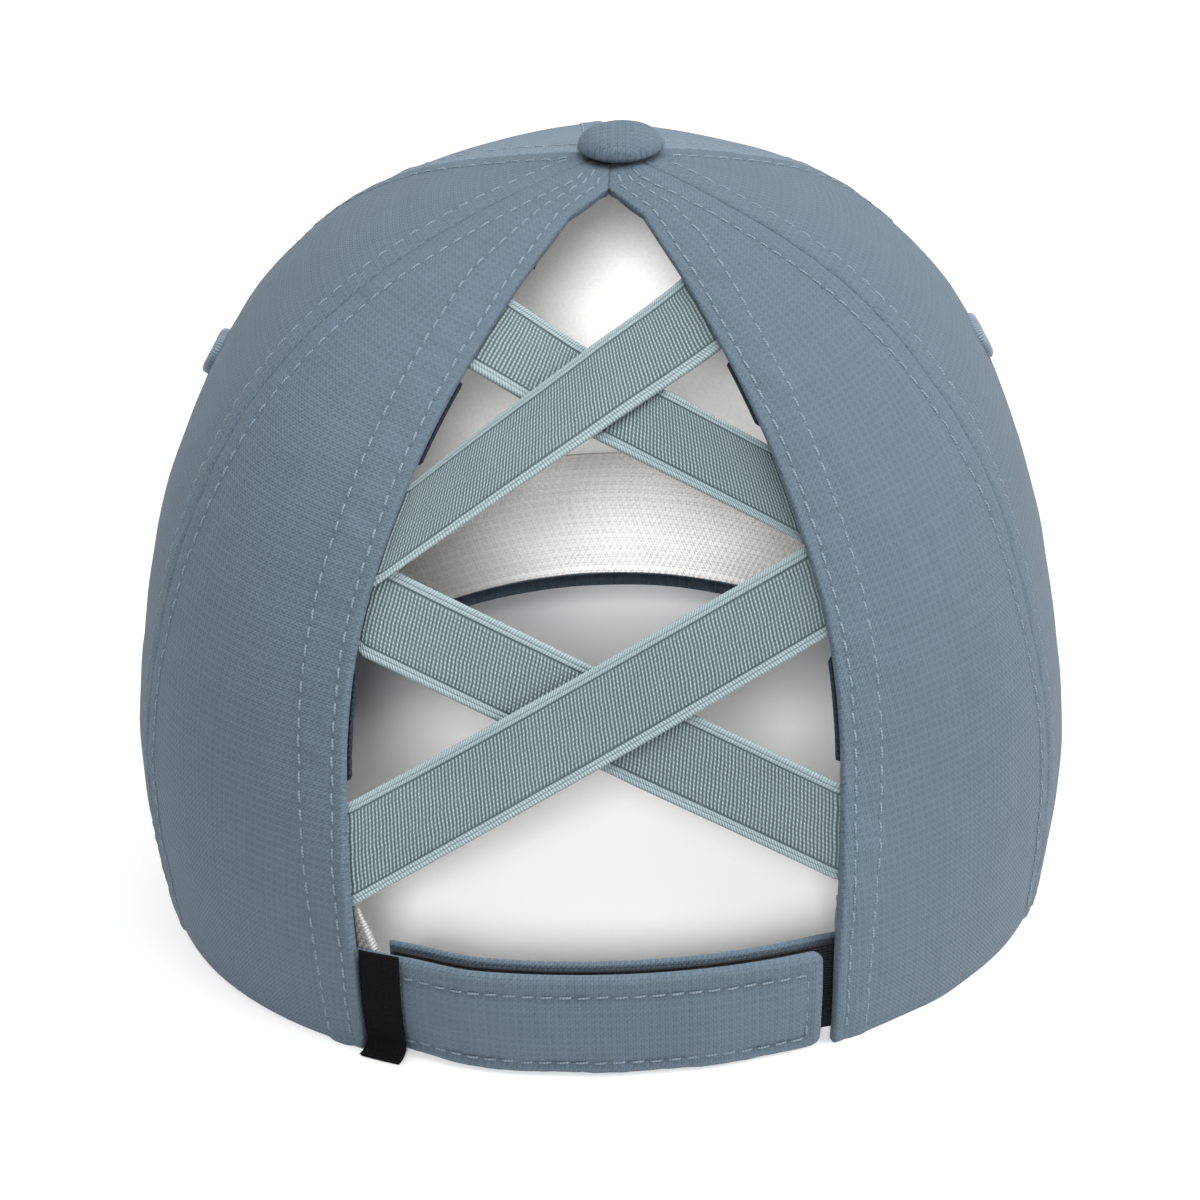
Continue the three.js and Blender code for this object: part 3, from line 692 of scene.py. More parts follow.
def makeWall(name, node, outer, inner, uv, edge, material, hole=None, backing=0.0):
    # closed solid between two layers of one grid, with an optional block of it left open; edge is
    # the distance to the piece's edge, and backing the share of backing on its inner face
    rows, columns = outer.shape[:2]
    count = rows * columns
    keep = np.ones((rows - 1, columns - 1), bool)
    strips = [strip(borderOf(0, rows - 1, 0, columns - 1, columns), count)]
    if hole is not None:
        rowLow, rowHigh, columnLow, columnHigh = hole
        keep[rowLow:rowHigh, columnLow:columnHigh] = False
        strips.append(strip(borderOf(*hole, columns)[::-1], count))
    outerQuads = gridQuads(rows, columns)[keep]
    innerQuads = gridQuads(rows, columns, count)[keep][:, ::-1]
    quads = np.concatenate([outerQuads, innerQuads, *strips])
    points = np.concatenate([outer.reshape(-1, 3), inner.reshape(-1, 3)])
    both = np.concatenate([uv.reshape(-1, 2)] * 2)
    spread = lambda numbers: np.broadcast_to(numbers, (rows, columns)).ravel()
    layers = {
        "inside": np.concatenate([np.zeros(count), spread(backing)]),
        "edge": np.concatenate([spread(edge)] * 2),
    }
    if hole is not None:
        used = np.unique(quads)
        fresh = np.zeros(2 * count, int)
        fresh[used] = np.arange(len(used))
        quads, points, both = fresh[quads], points[used], both[used]
        layers = {label: numbers[used] for label, numbers in layers.items()}
    placePiece(finishPiece(name, toRest(points), quads, both, layers, material), node)


def gridNormals(points):
    # normals of a grid from its own neighbours
    across = np.gradient(points, axis=1)
    up = np.gradient(points, axis=0)
    return unit(np.cross(across, up))


def moved(points, normals, distance):
    # points moved a distance along their normals
    return points + normals * np.asarray(distance)[..., None]


def fromBothEnds(lengths, axis):
    # distance to the nearer end of each grid line, from its running lengths
    return np.minimum(lengths, np.take(lengths, [-1], axis=axis) - lengths)


def rollOff(distance, radius):
    # how far a folded edge has rounded away: a quarter circle
    inward = 1 - np.clip(distance / radius, 0, 1)
    return radius * (1 - np.sqrt(np.maximum(1 - inward**2, 0)))


def placePiece(piece, node):
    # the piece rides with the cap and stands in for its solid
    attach(piece, "root")
    if node:
        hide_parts(node)


# Crown panels

panelLook = {
    "edgeColumns": [0, 0.05, 0.15, 0.3, 0.5, 0.8, 1.2, 1.7, 2.2, 2.8, 3.4, 4.0, 4.6, 5.2, 5.8,
                    6.6, 7.4, 8.2, 9.0, 9.8, 10.8, 12.0],
    "middleColumns": 22, "rimRows": [0, 0.05, 0.15, 0.3, 0.5, 0.8, 1.2], "rows": 200,
    "seamOverlap": 0.04, "seamRound": 0.38, "hemRound": 0.56,
    "seamRow": 4.5, "seamRaise": 0.3, "hemRow": 2.2, "hemRaise": 0.4, "rowRoom": 0.42,
    "rimTurning": 6.0, "hemTurning": 9.5, "turningEdge": 0.3, "turningWall": 0.35, "turningFade": (4.0, 6.5),
    "rowDip": 0.16, "dipWidth": 0.55, "pucker": 0.09, "puckerWidth": 1.2, "crumple": 0.13,
    "slack": 0.24, "slackWave": 46.0, "uneven": 0.07, "unevenWave": 14.0, "slackSeed": 7, "fullWidth": 30.0,
}
innerHemRow = {"left": (7.2, 8.9), "right": (6.4, 7.2)}
stitchPitch = 3.1
rowShift = stitchPitch / 3  # of a hem's inner row against its outer one
seamStitches, hemStitches = [], []


def hemRowOffset(side, rise):
    # the inner row's distance from the hem, which grows above the rim
    low, high = innerHemRow[side]
    return lerp(low, high, smooth(0.0, 0.3, rise))


def rowPucker(distance, row, along):
    # the small dip of a stitch row, with the cloth drawn in at each needle hole
    drawn = panelLook["pucker"] * np.cos(2 * np.pi * along / stitchPitch)
    dip = panelLook["rowDip"] * bell(distance, row, panelLook["dipWidth"])
    return -dip - drawn * bell(distance, row, panelLook["puckerWidth"])


def seamRelief(distance, along, row, seed):
    # cloth lifted by the turnings under it, crumpled between the seam and its stitch row
    raised = smooth(0.0, 1.2, distance) * (1 - smooth(row - 0.6, row + 0.9, distance))
    crumple = ripple(onCloth(distance * 0.8, along), 5.0, seed) * bell(distance, 2.4, 1.8)
    lifted = panelLook["seamRaise"] * raised + panelLook["crumple"] * crumple
    return lifted + rowPucker(distance, row, along)


def hemRelief(distance, along, firstRow, secondRow, seed):
    # cloth lifted by the wide turning of the hem, with its two stitch rows
    raised = 1 - smooth(secondRow - 0.3, secondRow + 1.0, distance)
    crumple = ripple(onCloth(distance * 0.7, along), 7.0, seed) * bell(distance, secondRow * 0.6, 3.4)
    rows = rowPucker(distance, firstRow, along) + rowPucker(distance, secondRow, along + rowShift)
    return panelLook["hemRaise"] * raised + panelLook["crumple"] * crumple + rows


def atOffset(points, distances, offset):
    # the point of each row of a grid that lies an offset along the row
    after = (distances < offset).sum(1, keepdims=True).clip(1, distances.shape[1] - 1)
    low, high = (np.take_along_axis(distances, index, 1) for index in (after - 1, after))
    below, above = (np.take_along_axis(points, index[..., None], 1)[:, 0] for index in (after - 1, after))
    return lerp(below, above, (offset - low) / (high - low))


def sewRow(rows, cloth, distances, offset, along, shift, seed):
    # a stitch row that follows the finished cloth, from the rim to the edge of the button
    normal = gridNormals(cloth)
    normal = normal * np.sign((normal[:, -3] * (cloth[:, -3] - [0, 0, 30])).sum(-1).mean())
    path, facing = atOffset(cloth, distances, offset), atOffset(normal, distances, offset)
    away = np.hypot(path[:, 0] - crown["apexSide"] - button["side"], path[:, 1] + crown["apexForward"])
    keep = (away > button["radius"] - 0.8) & (along > 0.7)
    rows.append(stitchRow(path[keep], facing[keep], along[keep] + shift, seed))


def panelGrid(side, start, end):
    # shares across and rises up a panel, closer together at its edges
    middleTurn = onSide(side, (start(0.5) + end(0.5)) / 2)
    top = float(riseAtRadius(middleTurn, crown["topHole"]))
    total = np.interp(top, climbRises, lengthsAlong(crownPoint(middleTurn, climbRises), 0))
    lengths = np.concatenate([panelLook["rimRows"], np.linspace(2.0, total, panelLook["rows"])])
    climb = riseAfter(middleTurn, lengths) / top
    climb[-1] = 1.0
    coarse = np.linspace(0, 1, 15)
    rise = np.broadcast_to((climb * top)[:, None], (len(climb), len(coarse)))
    turns = onSide(side, lerp(start(rise), end(rise), coarse))
    width = lengthsAlong(crownPoint(turns, rise), 1)[:, -1:]
    edge = np.array(panelLook["edgeColumns"])
    near = edge * np.minimum(1, 0.45 * width / edge[-1]) / width
    middle = np.linspace(0, 1, panelLook["middleColumns"] + 1)[1:-1]
    between = lerp(near[:, -1:], 1 - near[:, -1:], middle)
    share = np.concatenate([near, between, 1 - near[:, ::-1]], 1)
    topTurn = onSide(side, lerp(start(1.0), end(1.0), share))
    rise = climb[:, None] * riseAtRadius(topTurn, crown["topHole"])
    over = turnFor(onSide(side, start(rise)), rise, panelLook["seamOverlap"])
    turn = onSide(side, lerp(start(rise) - over, end(rise) + over, share))
    return turn, rise


def roundHole(points, shift, centre, normal, radius, halfBlock):
    # warps the grid so that a square block of it, moved back by the shift, has its edge on a circle
    across = unit(np.cross((0, 0, 1), normal))
    up = np.cross(normal, across)
    offset = points - shift - centre
    x, y, z = offset @ across, offset @ up, offset @ normal
    ring = np.maximum(np.abs(x) / halfBlock[0], np.abs(y) / halfBlock[1])
    length = np.maximum(np.hypot(x, y), 1e-9)
    blend = smooth(1.0, 2.4, ring)
    roundX, roundY = radius * ring * x / length, radius * ring * y / length
    x, y = lerp(roundX, x, blend), lerp(roundY, y, blend)
    warped = centre + x[..., None] * across + y[..., None] * up + z[..., None] * normal
    return warped + blend[..., None] * shift


def openHole(surface, layers, centre, facing, radius):
    # the block of the grid to leave out for a round hole, and both layers fitted round it
    away = np.linalg.norm(surface - centre, axis=-1)
    row, column = np.unravel_index(away.argmin(), away.shape)
    block = (row - 4, row + 4, column - 2, column + 2)
    corners = surface[[block[0], block[1]]][:, [block[2], block[3]]]
    half = [np.linalg.norm(corner - corners[0, 0]) / 2 for corner in (corners[0, 1], corners[1, 0])]
    shift = surface[row, column] - centre
    return block, *(roundHole(layer, shift, centre, facing, radius, half) for layer in layers)


def makePanel(name, side, start, end, kinds, seed, hole=None):
    # a panel between two seams or a seam and a hem, its cloth raised over the turnings along them
    look = panelLook
    turn, rise = panelGrid(side, start, end)
    surface = crownPoint(turn, rise)
    normal = crownNormal(turn, rise)
    fromStart = lengthsAlong(surface, 1)
    width = fromStart[:, -1:]
    fromEnd = width - fromStart
    up = lengthsAlong(surface, 0)
    along = up[:, surface.shape[1] // 2][:, None]
    relief = look["slack"] * ripple(surface, look["slackWave"], look["slackSeed"]) * smooth(0, 0.12, rise)
    relief += look["uneven"] * ripple(surface, look["unevenWave"], look["slackSeed"] + 1)
    spread = np.minimum(1, width / look["fullWidth"])
    depth = np.full(fromStart.shape, crown["wall"])
    outerRoll = innerRoll = rollOff(up, look["hemRound"])
    backing = smooth(look["rimTurning"], look["rimTurning"] + look["turningEdge"], up)
    rows = []
    for kind, distance, salt in ((kinds[0], fromStart, 11), (kinds[1], fromEnd, 23)):
        isHem = (kind == "hem") * (1 - smooth(opening["top"] - 0.01, opening["top"], rise))
        room = look["rowRoom"] * width
        seamRow = np.minimum(look["seamRow"], room)
        if kind == "hem":
            firstRow = np.minimum(look["hemRow"], 0.5 * room)
            secondRow = np.minimum(hemRowOffset(side, rise[:, :1]), room)
            relief += spread * isHem * hemRelief(distance, along, firstRow, secondRow, seed + salt)
            innerRoll = np.maximum(innerRoll, isHem * rollOff(distance, look["hemRound"]))
            turning = smooth(look["hemTurning"], look["hemTurning"] + look["turningEdge"], distance)
            backing = np.minimum(backing, turning)
            rows += [(hemStitches, distance, firstRow, 0.0), (hemStitches, distance, secondRow, rowShift)]
        else:
            rows.append((seamStitches, distance, seamRow, 0.0))
        relief += spread * (1 - isHem) * seamRelief(distance, along, seamRow, seed + salt)
        depth += look["turningWall"] * spread * (1 - smooth(*look["turningFade"], distance))
        edgeRound = lerp(look["seamRound"], look["hemRound"], isHem)
        outerRoll = np.maximum(outerRoll, rollOff(distance, edgeRound))
    outer = moved(surface, normal, relief - outerRoll)
    inner = moved(surface, normal, innerRoll - depth)
    for number, (into, distance, offset, shift) in enumerate(rows):
        step = 1 if distance is fromStart else -1
        sewRow(into, outer[:, ::step], distance[:, ::step], offset, along[:, 0], shift, seed + 31 + number)
    uv = np.stack([fromStart - width / 2, along + 0 * fromStart], -1)
    block = None
    if hole is not None:
        block, outer, inner = openHole(surface, (outer, inner), *hole)
    edge = np.minimum(fromStart, fromEnd)
    makeWall(f"{name}_cloth", name, outer, inner, uv, edge, shellCloth, block, backing)


# Eyelets: thread ring worked over the edge of a hole, with radial strands

eyelet = {
    "turn": -10.0, "climb": 95.0, "lip": 4.4, "bore": 1.9, "barrel": 2.9, "room": 0.2,
    "rise": 1.1, "under": 2.3, "strands": 44, "strandHigh": 0.14, "strandOut": 0.1,
}


def eyeletPlace(side):
    # centre and facing of the vent, a length up the crown from the rim
    turn = onSide(side, eyelet["turn"])
    rise = float(riseAfter(turn, eyelet["climb"]))
    return crownPoint(turn, rise), crownNormal(turn, rise)


def aroundAxis(radius, height, angle, centre, facing):
    # points at a radius and angle round an axis, and a height along it
    across = unit(np.cross((0, 0, 1), facing))
    up = np.cross(facing, across)
    sides = (radius * np.cos(angle))[..., None] * across + (radius * np.sin(angle))[..., None] * up
    return centre + sides + height[..., None] * facing


def makeEyelet(side):
    # a ring section round the edge: over the lip, down the bore and out under the cloth
    centre, facing = eyeletPlace(side)
    angle = np.linspace(0, 2 * np.pi, eyelet["strands"] * 4, endpoint=False)[None, :]
    round_ = np.linspace(0, 2 * np.pi, 28, endpoint=False)[:, None]
    middle = (eyelet["lip"] + eyelet["bore"]) / 2
    halfWidth = (eyelet["lip"] - eyelet["bore"]) / 2
    strand = np.abs(np.sin(angle * eyelet["strands"] / 2))
    wobble = 0.08 * np.sin(3 * angle + 0.7) + 0.06 * np.sin(7 * angle)
    radius = middle + wobble + (halfWidth + eyelet["strandOut"] * strand) * np.cos(round_) + 0 * angle
    lift = np.abs(np.sin(round_)) ** 0.75
    over = (eyelet["rise"] + eyelet["strandHigh"] * strand) * lift
    height = np.where(np.sin(round_) > 0, over, -eyelet["under"] * lift)
    height = height + 0 * radius
    ring = aroundAxis(radius, height, angle + 0 * radius, centre, facing)
    rows, columns = ring.shape[:2]
    index = np.arange(rows * columns).reshape(rows, columns)
    quads = tubeQuads(np.concatenate([index, index[:1]]))
    uv = np.stack([angle * eyelet["lip"] + 0 * radius, round_ * 2 + 0 * radius], -1).reshape(-1, 2)
    # painted shade in the hollows between the strands
    values = {"dive": (0.35 * (1 - strand) + 0 * radius).ravel()}
    piece = finishPiece(f"eyelet_{side}_thread", toRest(ring.reshape(-1, 3)), quads, uv, values, sewingThread)
    placePiece(piece, f"eyelet_{side}")


# Button: a cloth-covered dome whose cloth is gathered in pleats under its edge

button = {
    "radius": 7.55, "height": 4.4, "waist": 1.0, "skirt": 1.7, "side": -1.6, "above": 0.3,
    "pleats": 38, "pleatDeep": 0.12, "oval": 0.012, "shank": 2.0, "foot": -3.2,
}


def makeButton():
    # rings round the axis: a superellipse dome over a skirt that turns in to the shank
    angle = np.linspace(0, 2 * np.pi, 204, endpoint=False)[None, :]
    swing = np.linspace(-0.62 * np.pi / 2, np.pi / 2, 46)[:, None]
    out = np.cos(swing) ** 0.62
    crest = (button["height"] - button["waist"]) * np.abs(np.sin(swing)) ** 1.05
    up = np.where(swing > 0, crest, -button["skirt"] * np.abs(np.sin(swing)) ** 1.3)
    gathered = smooth(0.5, -0.4, swing)
    pleat = button["pleatDeep"] * np.cos(button["pleats"] * angle + 0.6 * np.sin(5 * angle)) - 0.05
    radius = button["radius"] * out * (1 + button["oval"] * np.sin(2 * angle + 1)) + gathered * pleat
    x, y = radius * np.cos(angle), radius * np.sin(angle)
    height = up + button["waist"] + 0.04 * ripple(onCloth(x, y), 5.0, 5)
    top = crown["height"] + crown["tipRise"] + button["above"]
    centre = np.array([crown["apexSide"] + button["side"], -crown["apexForward"], top])
    footX, footY = button["shank"] * np.cos(angle), button["shank"] * np.sin(angle)
    foot = np.stack([footX, footY, np.full_like(angle, button["foot"])], -1)
    points = centre + np.concatenate([foot, np.stack([x, y, height], -1)])
    rows, columns = points.shape[:2]
    index = np.arange(rows * columns).reshape(rows, columns)
    flat = points.reshape(-1, 3)
    flat = np.concatenate([flat, [flat[index[-1]].mean(0), flat[index[0]].mean(0)]])
    fan = lambda ring, hub: np.stack(
        [ring[0::2], ring[1::2], np.roll(ring, -2)[0::2], 0 * ring[0::2] + hub], -1,
    )
    topFan, footFan = fan(index[-1], len(flat) - 2), fan(index[0], len(flat) - 1)[:, ::-1]
    quads = np.concatenate([tubeQuads(index), topFan, footFan])
    uv = flat[:, :2] - centre[:2]
    values = {"inside": np.zeros(len(flat)), "edge": np.full(len(flat), 9.0)}
    piece = finishPiece("button_cloth", toRest(flat), quads, uv, values, shellCloth)
    placePiece(piece, "button")


# Elastic bands: four strips on one taut sheet across the open back, ends held by the hems

band = {
    "wall": 1.0, "tuck": 9.0, "sag": 3.0, "crossGap": 0.9, "slope": 39.0,
    "columns": 150, "tuckColumns": 12, "middleRows": 16, "width": 16.4,
    "edgeRows": [0, 0.03, 0.1, 0.25, 0.5, 0.8, 1.05, 1.3, 1.6, 1.8, 1.95, 2.1, 2.4],
    "corner": 0.42, "outerCord": 0.09, "innerCord": 0.05, "cordLine": 0.05, "groove": 0.14,
    "wave": 0.12, "waveLength": 34.0,
}
bandEnds = [  # rises of foot and top at both hems, and the plies under the band there
    {"name": "elastic_upper_under", "left": (0.672, 0.763), "right": (0.476, 0.580), "layers": (0, 1)},
    {"name": "elastic_upper_over", "left": (0.440, 0.543), "right": (0.691, 0.789), "layers": (0, 0)},
    {"name": "elastic_lower_under", "left": (0.376, 0.462), "right": (0.169, 0.256), "layers": (1, 0)},
    {"name": "elastic_lower_over", "left": (0.152, 0.246), "right": (0.384, 0.470), "layers": (0, 0)},
]
bandDepth = crown["wall"] + plyGap + band["wall"] / 2
plyStep = band["wall"] + plyGap
bandSlope = np.radians(band["slope"])
leanUp = np.array([0, -np.sin(bandSlope), np.cos(bandSlope)])
leanOut = np.array([0, np.cos(bandSlope), np.sin(bandSlope)])
hemRises = np.arange(0, opening["top"] - opening["arch"], 0.01)
hemLeft = crownInside(hemTurn(hemRises), hemRises, bandDepth)
hemRight = crownInside(180 - hemTurn(hemRises), hemRises, bandDepth)
hemHeights, hemReach = hemLeft @ leanUp, hemLeft @ leanOut


def sheetPoint(x, height):
    # the leaned sheet between the hems, sagging inward by a parabola
    left = np.interp(height, hemHeights, hemLeft[:, 0])
    right = np.interp(height, hemHeights, hemRight[:, 0])
    reach = np.interp(height, hemHeights, hemReach)
    offCentre = (2 * x - left - right) / (left - right)
    out = reach - band["sag"] * (1 - offCentre**2)
    return x[..., None] * np.array([1, 0, 0]) + height[..., None] * leanUp + out[..., None] * leanOut


def sheetNormal(x, height):
    # cross product of the sheet's steps up and across
    across = sheetPoint(x + 1, height) - sheetPoint(x - 1, height)
    up = sheetPoint(x, height + 1) - sheetPoint(x, height - 1)
    return unit(np.cross(up, across))


def endOf(spec, side):
    # foot, top, layer and the rise gained for a length under the hem
    leftCentre, rightCentre = sum(spec["left"]) / 2, sum(spec["right"]) / 2
    leftPoint = crownPoint(hemTurn(leftCentre), leftCentre)
    rightPoint = crownPoint(180 - hemTurn(rightCentre), rightCentre)
    slope = (leftCentre - rightCentre) / np.linalg.norm(leftPoint - rightPoint)
    layer, way = (spec["layers"][0], 1) if side == "left" else (spec["layers"][1], -1)
    return *spec[side], layer, way * slope


def bandMiddle(spec, across):
    # middle surface of one band as rows across its width and columns along it
    def tucked(side, outward):
        foot, top, layer, slope = endOf(spec, side)
        deeper = layer * plyStep
        rise = lerp(foot, top, across)[:, None] + 0 * outward
        length = lerp(band["tuck"], 0.3 * deeper, outward)
        turn = hemTurn(rise) - turnFor(hemTurn(rise), rise, length)
        return crownInside(onSide(side, turn), rise + slope * length, bandDepth + deeper)
    share = np.linspace(0, 1, band["columns"])[None, 1:-1]
    leftRise, rightRise = (lerp(*spec[side], across)[:, None] for side in ("left", "right"))
    onHem = lambda rise, values: np.interp(rise, hemRises, values)
    height = lerp(onHem(leftRise, hemHeights), onHem(rightRise, hemHeights), share)
    x = lerp(onHem(leftRise, hemLeft[:, 0]), onHem(rightRise, hemRight[:, 0]), share)
    crossing = (1 if spec["name"].endswith("over") else -1) * (band["wall"] + band["crossGap"]) / 2
    leftLayer, rightLayer = spec["layers"]
    offset = np.where(
        share < 0.5,
        lerp(-leftLayer * plyStep, crossing, smooth(0, 0.35, share)),
        lerp(crossing, -rightLayer * plyStep, smooth(0.65, 1, share)),
    ) + 0 * x
    free = moved(sheetPoint(x, height), sheetNormal(x, height), offset)
    outward = np.linspace(0, 1, band["tuckColumns"])[None, :]
    return np.concatenate([tucked("left", outward), free, tucked("right", outward[:, ::-1])], 1)


def makeBand(spec, seed):
    # webbing with soft corners, a swell over each edge cord and grooves beside them
    edge = np.array(band["edgeRows"])
    between = np.linspace(3, band["width"] - 3, band["middleRows"])
    across = np.concatenate([edge, between, band["width"] - edge[::-1]]) / band["width"]
    middle = bandMiddle(spec, across)
    normal = gridNormals(middle)
    up = lengthsAlong(middle, 0)
    fromEdge = fromBothEnds(up, 0)
    along = lengthsAlong(middle, 1)
    centre = middle.shape[0] // 2
    along = along[centre:centre + 1] + 0 * up
    half = band["wall"] / 2
    rounding = rollOff(fromEdge, band["corner"])
    swell = band["outerCord"] * bell(fromEdge, 0.55, 0.4) + band["innerCord"] * bell(fromEdge, 1.45, 0.3)
    swell -= band["cordLine"] * bell(fromEdge, webbingLook["cord"], 0.1)
    swell -= band["groove"] * bell(fromEdge, webbingLook["selvage"], 0.16)
    wave = band["wave"] * ripple(onCloth(along, up), band["waveLength"], seed)
    outer = moved(middle, normal, half + swell - rounding + wave)
    inner = moved(middle, normal, wave - (half + swell - rounding))
    uv = np.stack([along, up - up[-1:] / 2], -1)
    name = spec["name"]
    makeWall(f"{name}_webbing", name, outer, inner, uv, fromEdge, elasticWebbing)


# Tape inside the hems, over the band ends

tape = {
    "wall": 0.8, "width": 10.0, "show": 0.35, "drawnIn": 3.0, "footGap": 1.2, "hiddenFrom": 0.87,
    "margin": 0.006, "fade": 0.014, "clearFrom": 0.01, "clearTo": 0.02, "picot": 1.1,
}
sweatband = {
    "height": 27.0, "wall": 1.2, "show": 1.9, "showAtTop": -2.1, "slantFrom": 17.0, "backOff": 4.0,
    "clear": 1.0, "fade": 13.0, "edgeRound": 0.55, "pad": 0.7, "creases": 0.12, "row": 2.0,
}


def bandLift(side, rise):
    # how far the tape is lifted by the band ends under it, in plies, and the rise to the nearest one
    lifts, away = [], []
    for spec in bandEnds:
        foot, top, layer, slope = endOf(spec, side)
        drift = slope * band["tuck"]
        outside = np.maximum(np.maximum(foot + min(drift, 0) - rise, rise - top - max(drift, 0)), 0)
        lifts.append((layer + 1) * (1 - smooth(tape["margin"], tape["margin"] + tape["fade"], outside)))
        away.append(outside)
    return np.max(lifts, 0), np.min(away, 0)


def makeHemTape(side):
    # a flat strip along the hem that lies over the band ends and passes behind the bands
    foot = float(riseAfter(hemTurn(0.0), sweatband["height"] + tape["footGap"]))
    across = np.array(
        [0, 0.004, 0.012, 0.025, 0.045, 0.07, 0.1, 0.2, 0.35, 0.5, 0.65, 0.8, 0.9, 0.95, 0.98, 1.0]
    )
    climb = np.linspace(0, 1, 200)[:, None] + 0 * across
    rise = lerp(foot, opening["top"] - opening["arch"], climb)
    lift, away = bandLift(side, rise)
    behindBand = 1 - smooth(tape["clearFrom"], tape["clearTo"], away)
    hidden = np.maximum(behindBand, smooth(tape["hiddenFrom"], 1, climb))
    show = lerp(tape["show"], -tape["drawnIn"], hidden)
    edge = onSide(side, hemTurn(rise))
    turn = onSide(side, hemTurn(rise) + turnFor(edge, rise, lerp(show, -tape["width"], across)))
    depth = crown["wall"] + plyGap + lift * plyStep
    middle = crownInside(turn, rise, depth + tape["wall"] / 2)
    normal = gridNormals(middle) * (-1 if side == "left" else 1)
    width = lengthsAlong(middle, 1)
    fromEdge = fromBothEnds(width, 1)
    along = lengthsAlong(middle, 0)
    picots = 0.05 * np.cos(2 * np.pi * along / tape["picot"]) * bell(fromEdge, 0.4, 0.5)
    half = tape["wall"] / 2 - rollOff(fromEdge, 0.36) + picots
    outer, inner = moved(middle, normal, half), moved(middle, normal, -half)
    uv = np.stack([width, along], -1)
    makeWall(f"hem_tape_{side}_weave", f"hem_tape_{side}", outer, inner, uv, fromEdge, hemTape)


# Rim closure: outer tab, inner strap and its loop tape

closure = {
    "height": 20.0, "tabWall": 1.6, "reach": 37.4, "corner": 2.0, "freeDepth": 0.2, "riseLength": 14.0,
    "strapWall": 1.2, "strapExtra": 0.9, "strapEnd": 36.5, "loopWall": 0.8, "loopMargin": 1.5, "tuck": 12.0,
    "topRow": 3.8, "footRow": 2.7, "endRow": 3.0, "rowCorner": 1.0,
    "edgeRound": 0.72, "edgePuff": 0.26, "middlePuff": 0.16, "creases": 0.12, "fineCreases": 0.07,
}
label = {"width": 7.8, "top": 21.0, "wall": 0.9, "curl": 2.6, "foot": 0.4, "gap": 0.6}
rimHalfWidth = crown["halfWidth"] * (1 - crown["rimTuck"])
tabEndTurn = 90 + np.degrees(np.arcsin(closure["reach"] / rimHalfWidth))
leftHem = float(hemTurn(0.0))
rightHem = 180 - leftHem
tabDepth = crown["wall"] + plyGap


def rimTurnFor(turn, length):
    # degrees of turn for a length round the rim
    return float(turnFor(turn, 0.0, length))


def rimLength(start, end):
    # length round the rim between two turns
    return float(lengthsAlong(crownPoint(np.linspace(start, end, 400), np.zeros(400)), 0)[-1])


labelStart = leftHem + rimTurnFor(leftHem, label["gap"])
labelEnd = labelStart + rimTurnFor(labelStart, label["width"])


def tabDepthAt(turn):
    # the tab comes out to the crown's surface once it has passed the label
    risen = smooth(labelEnd, labelEnd + rimTurnFor(labelEnd, closure["riseLength"]), turn)
    return lerp(tabDepth, closure["freeDepth"], risen)


def loopDepth(turn):
    # the loop tape lies under the tab, and next to the panel where it goes under the right hem
    underTab = tabDepthAt(turn) + closure["tabWall"] + plyGap
    under = rightHem + rimTurnFor(rightHem, sweatband["backOff"])
    return lerp(underTab, tabDepth, smooth(tabEndTurn, under, turn))


fineSteps = (0, 0.04, 0.12, 0.28, 0.5, 0.8, 1.2, 1.8, 2.5, 3.2, 3.9, 4.6, 5.4)
thinSteps = (0, 0.04, 0.12, 0.28, 0.5, 0.8, 1.4, 2.2)


def edgeSteps(total, steps, middle):
    # places across a strip, closer together at both edges
    steps = np.array(steps)
    between = np.linspace(steps[-1], total - steps[-1], middle + 2)[1:-1]
    return np.concatenate([steps, between, total - steps[::-1]])


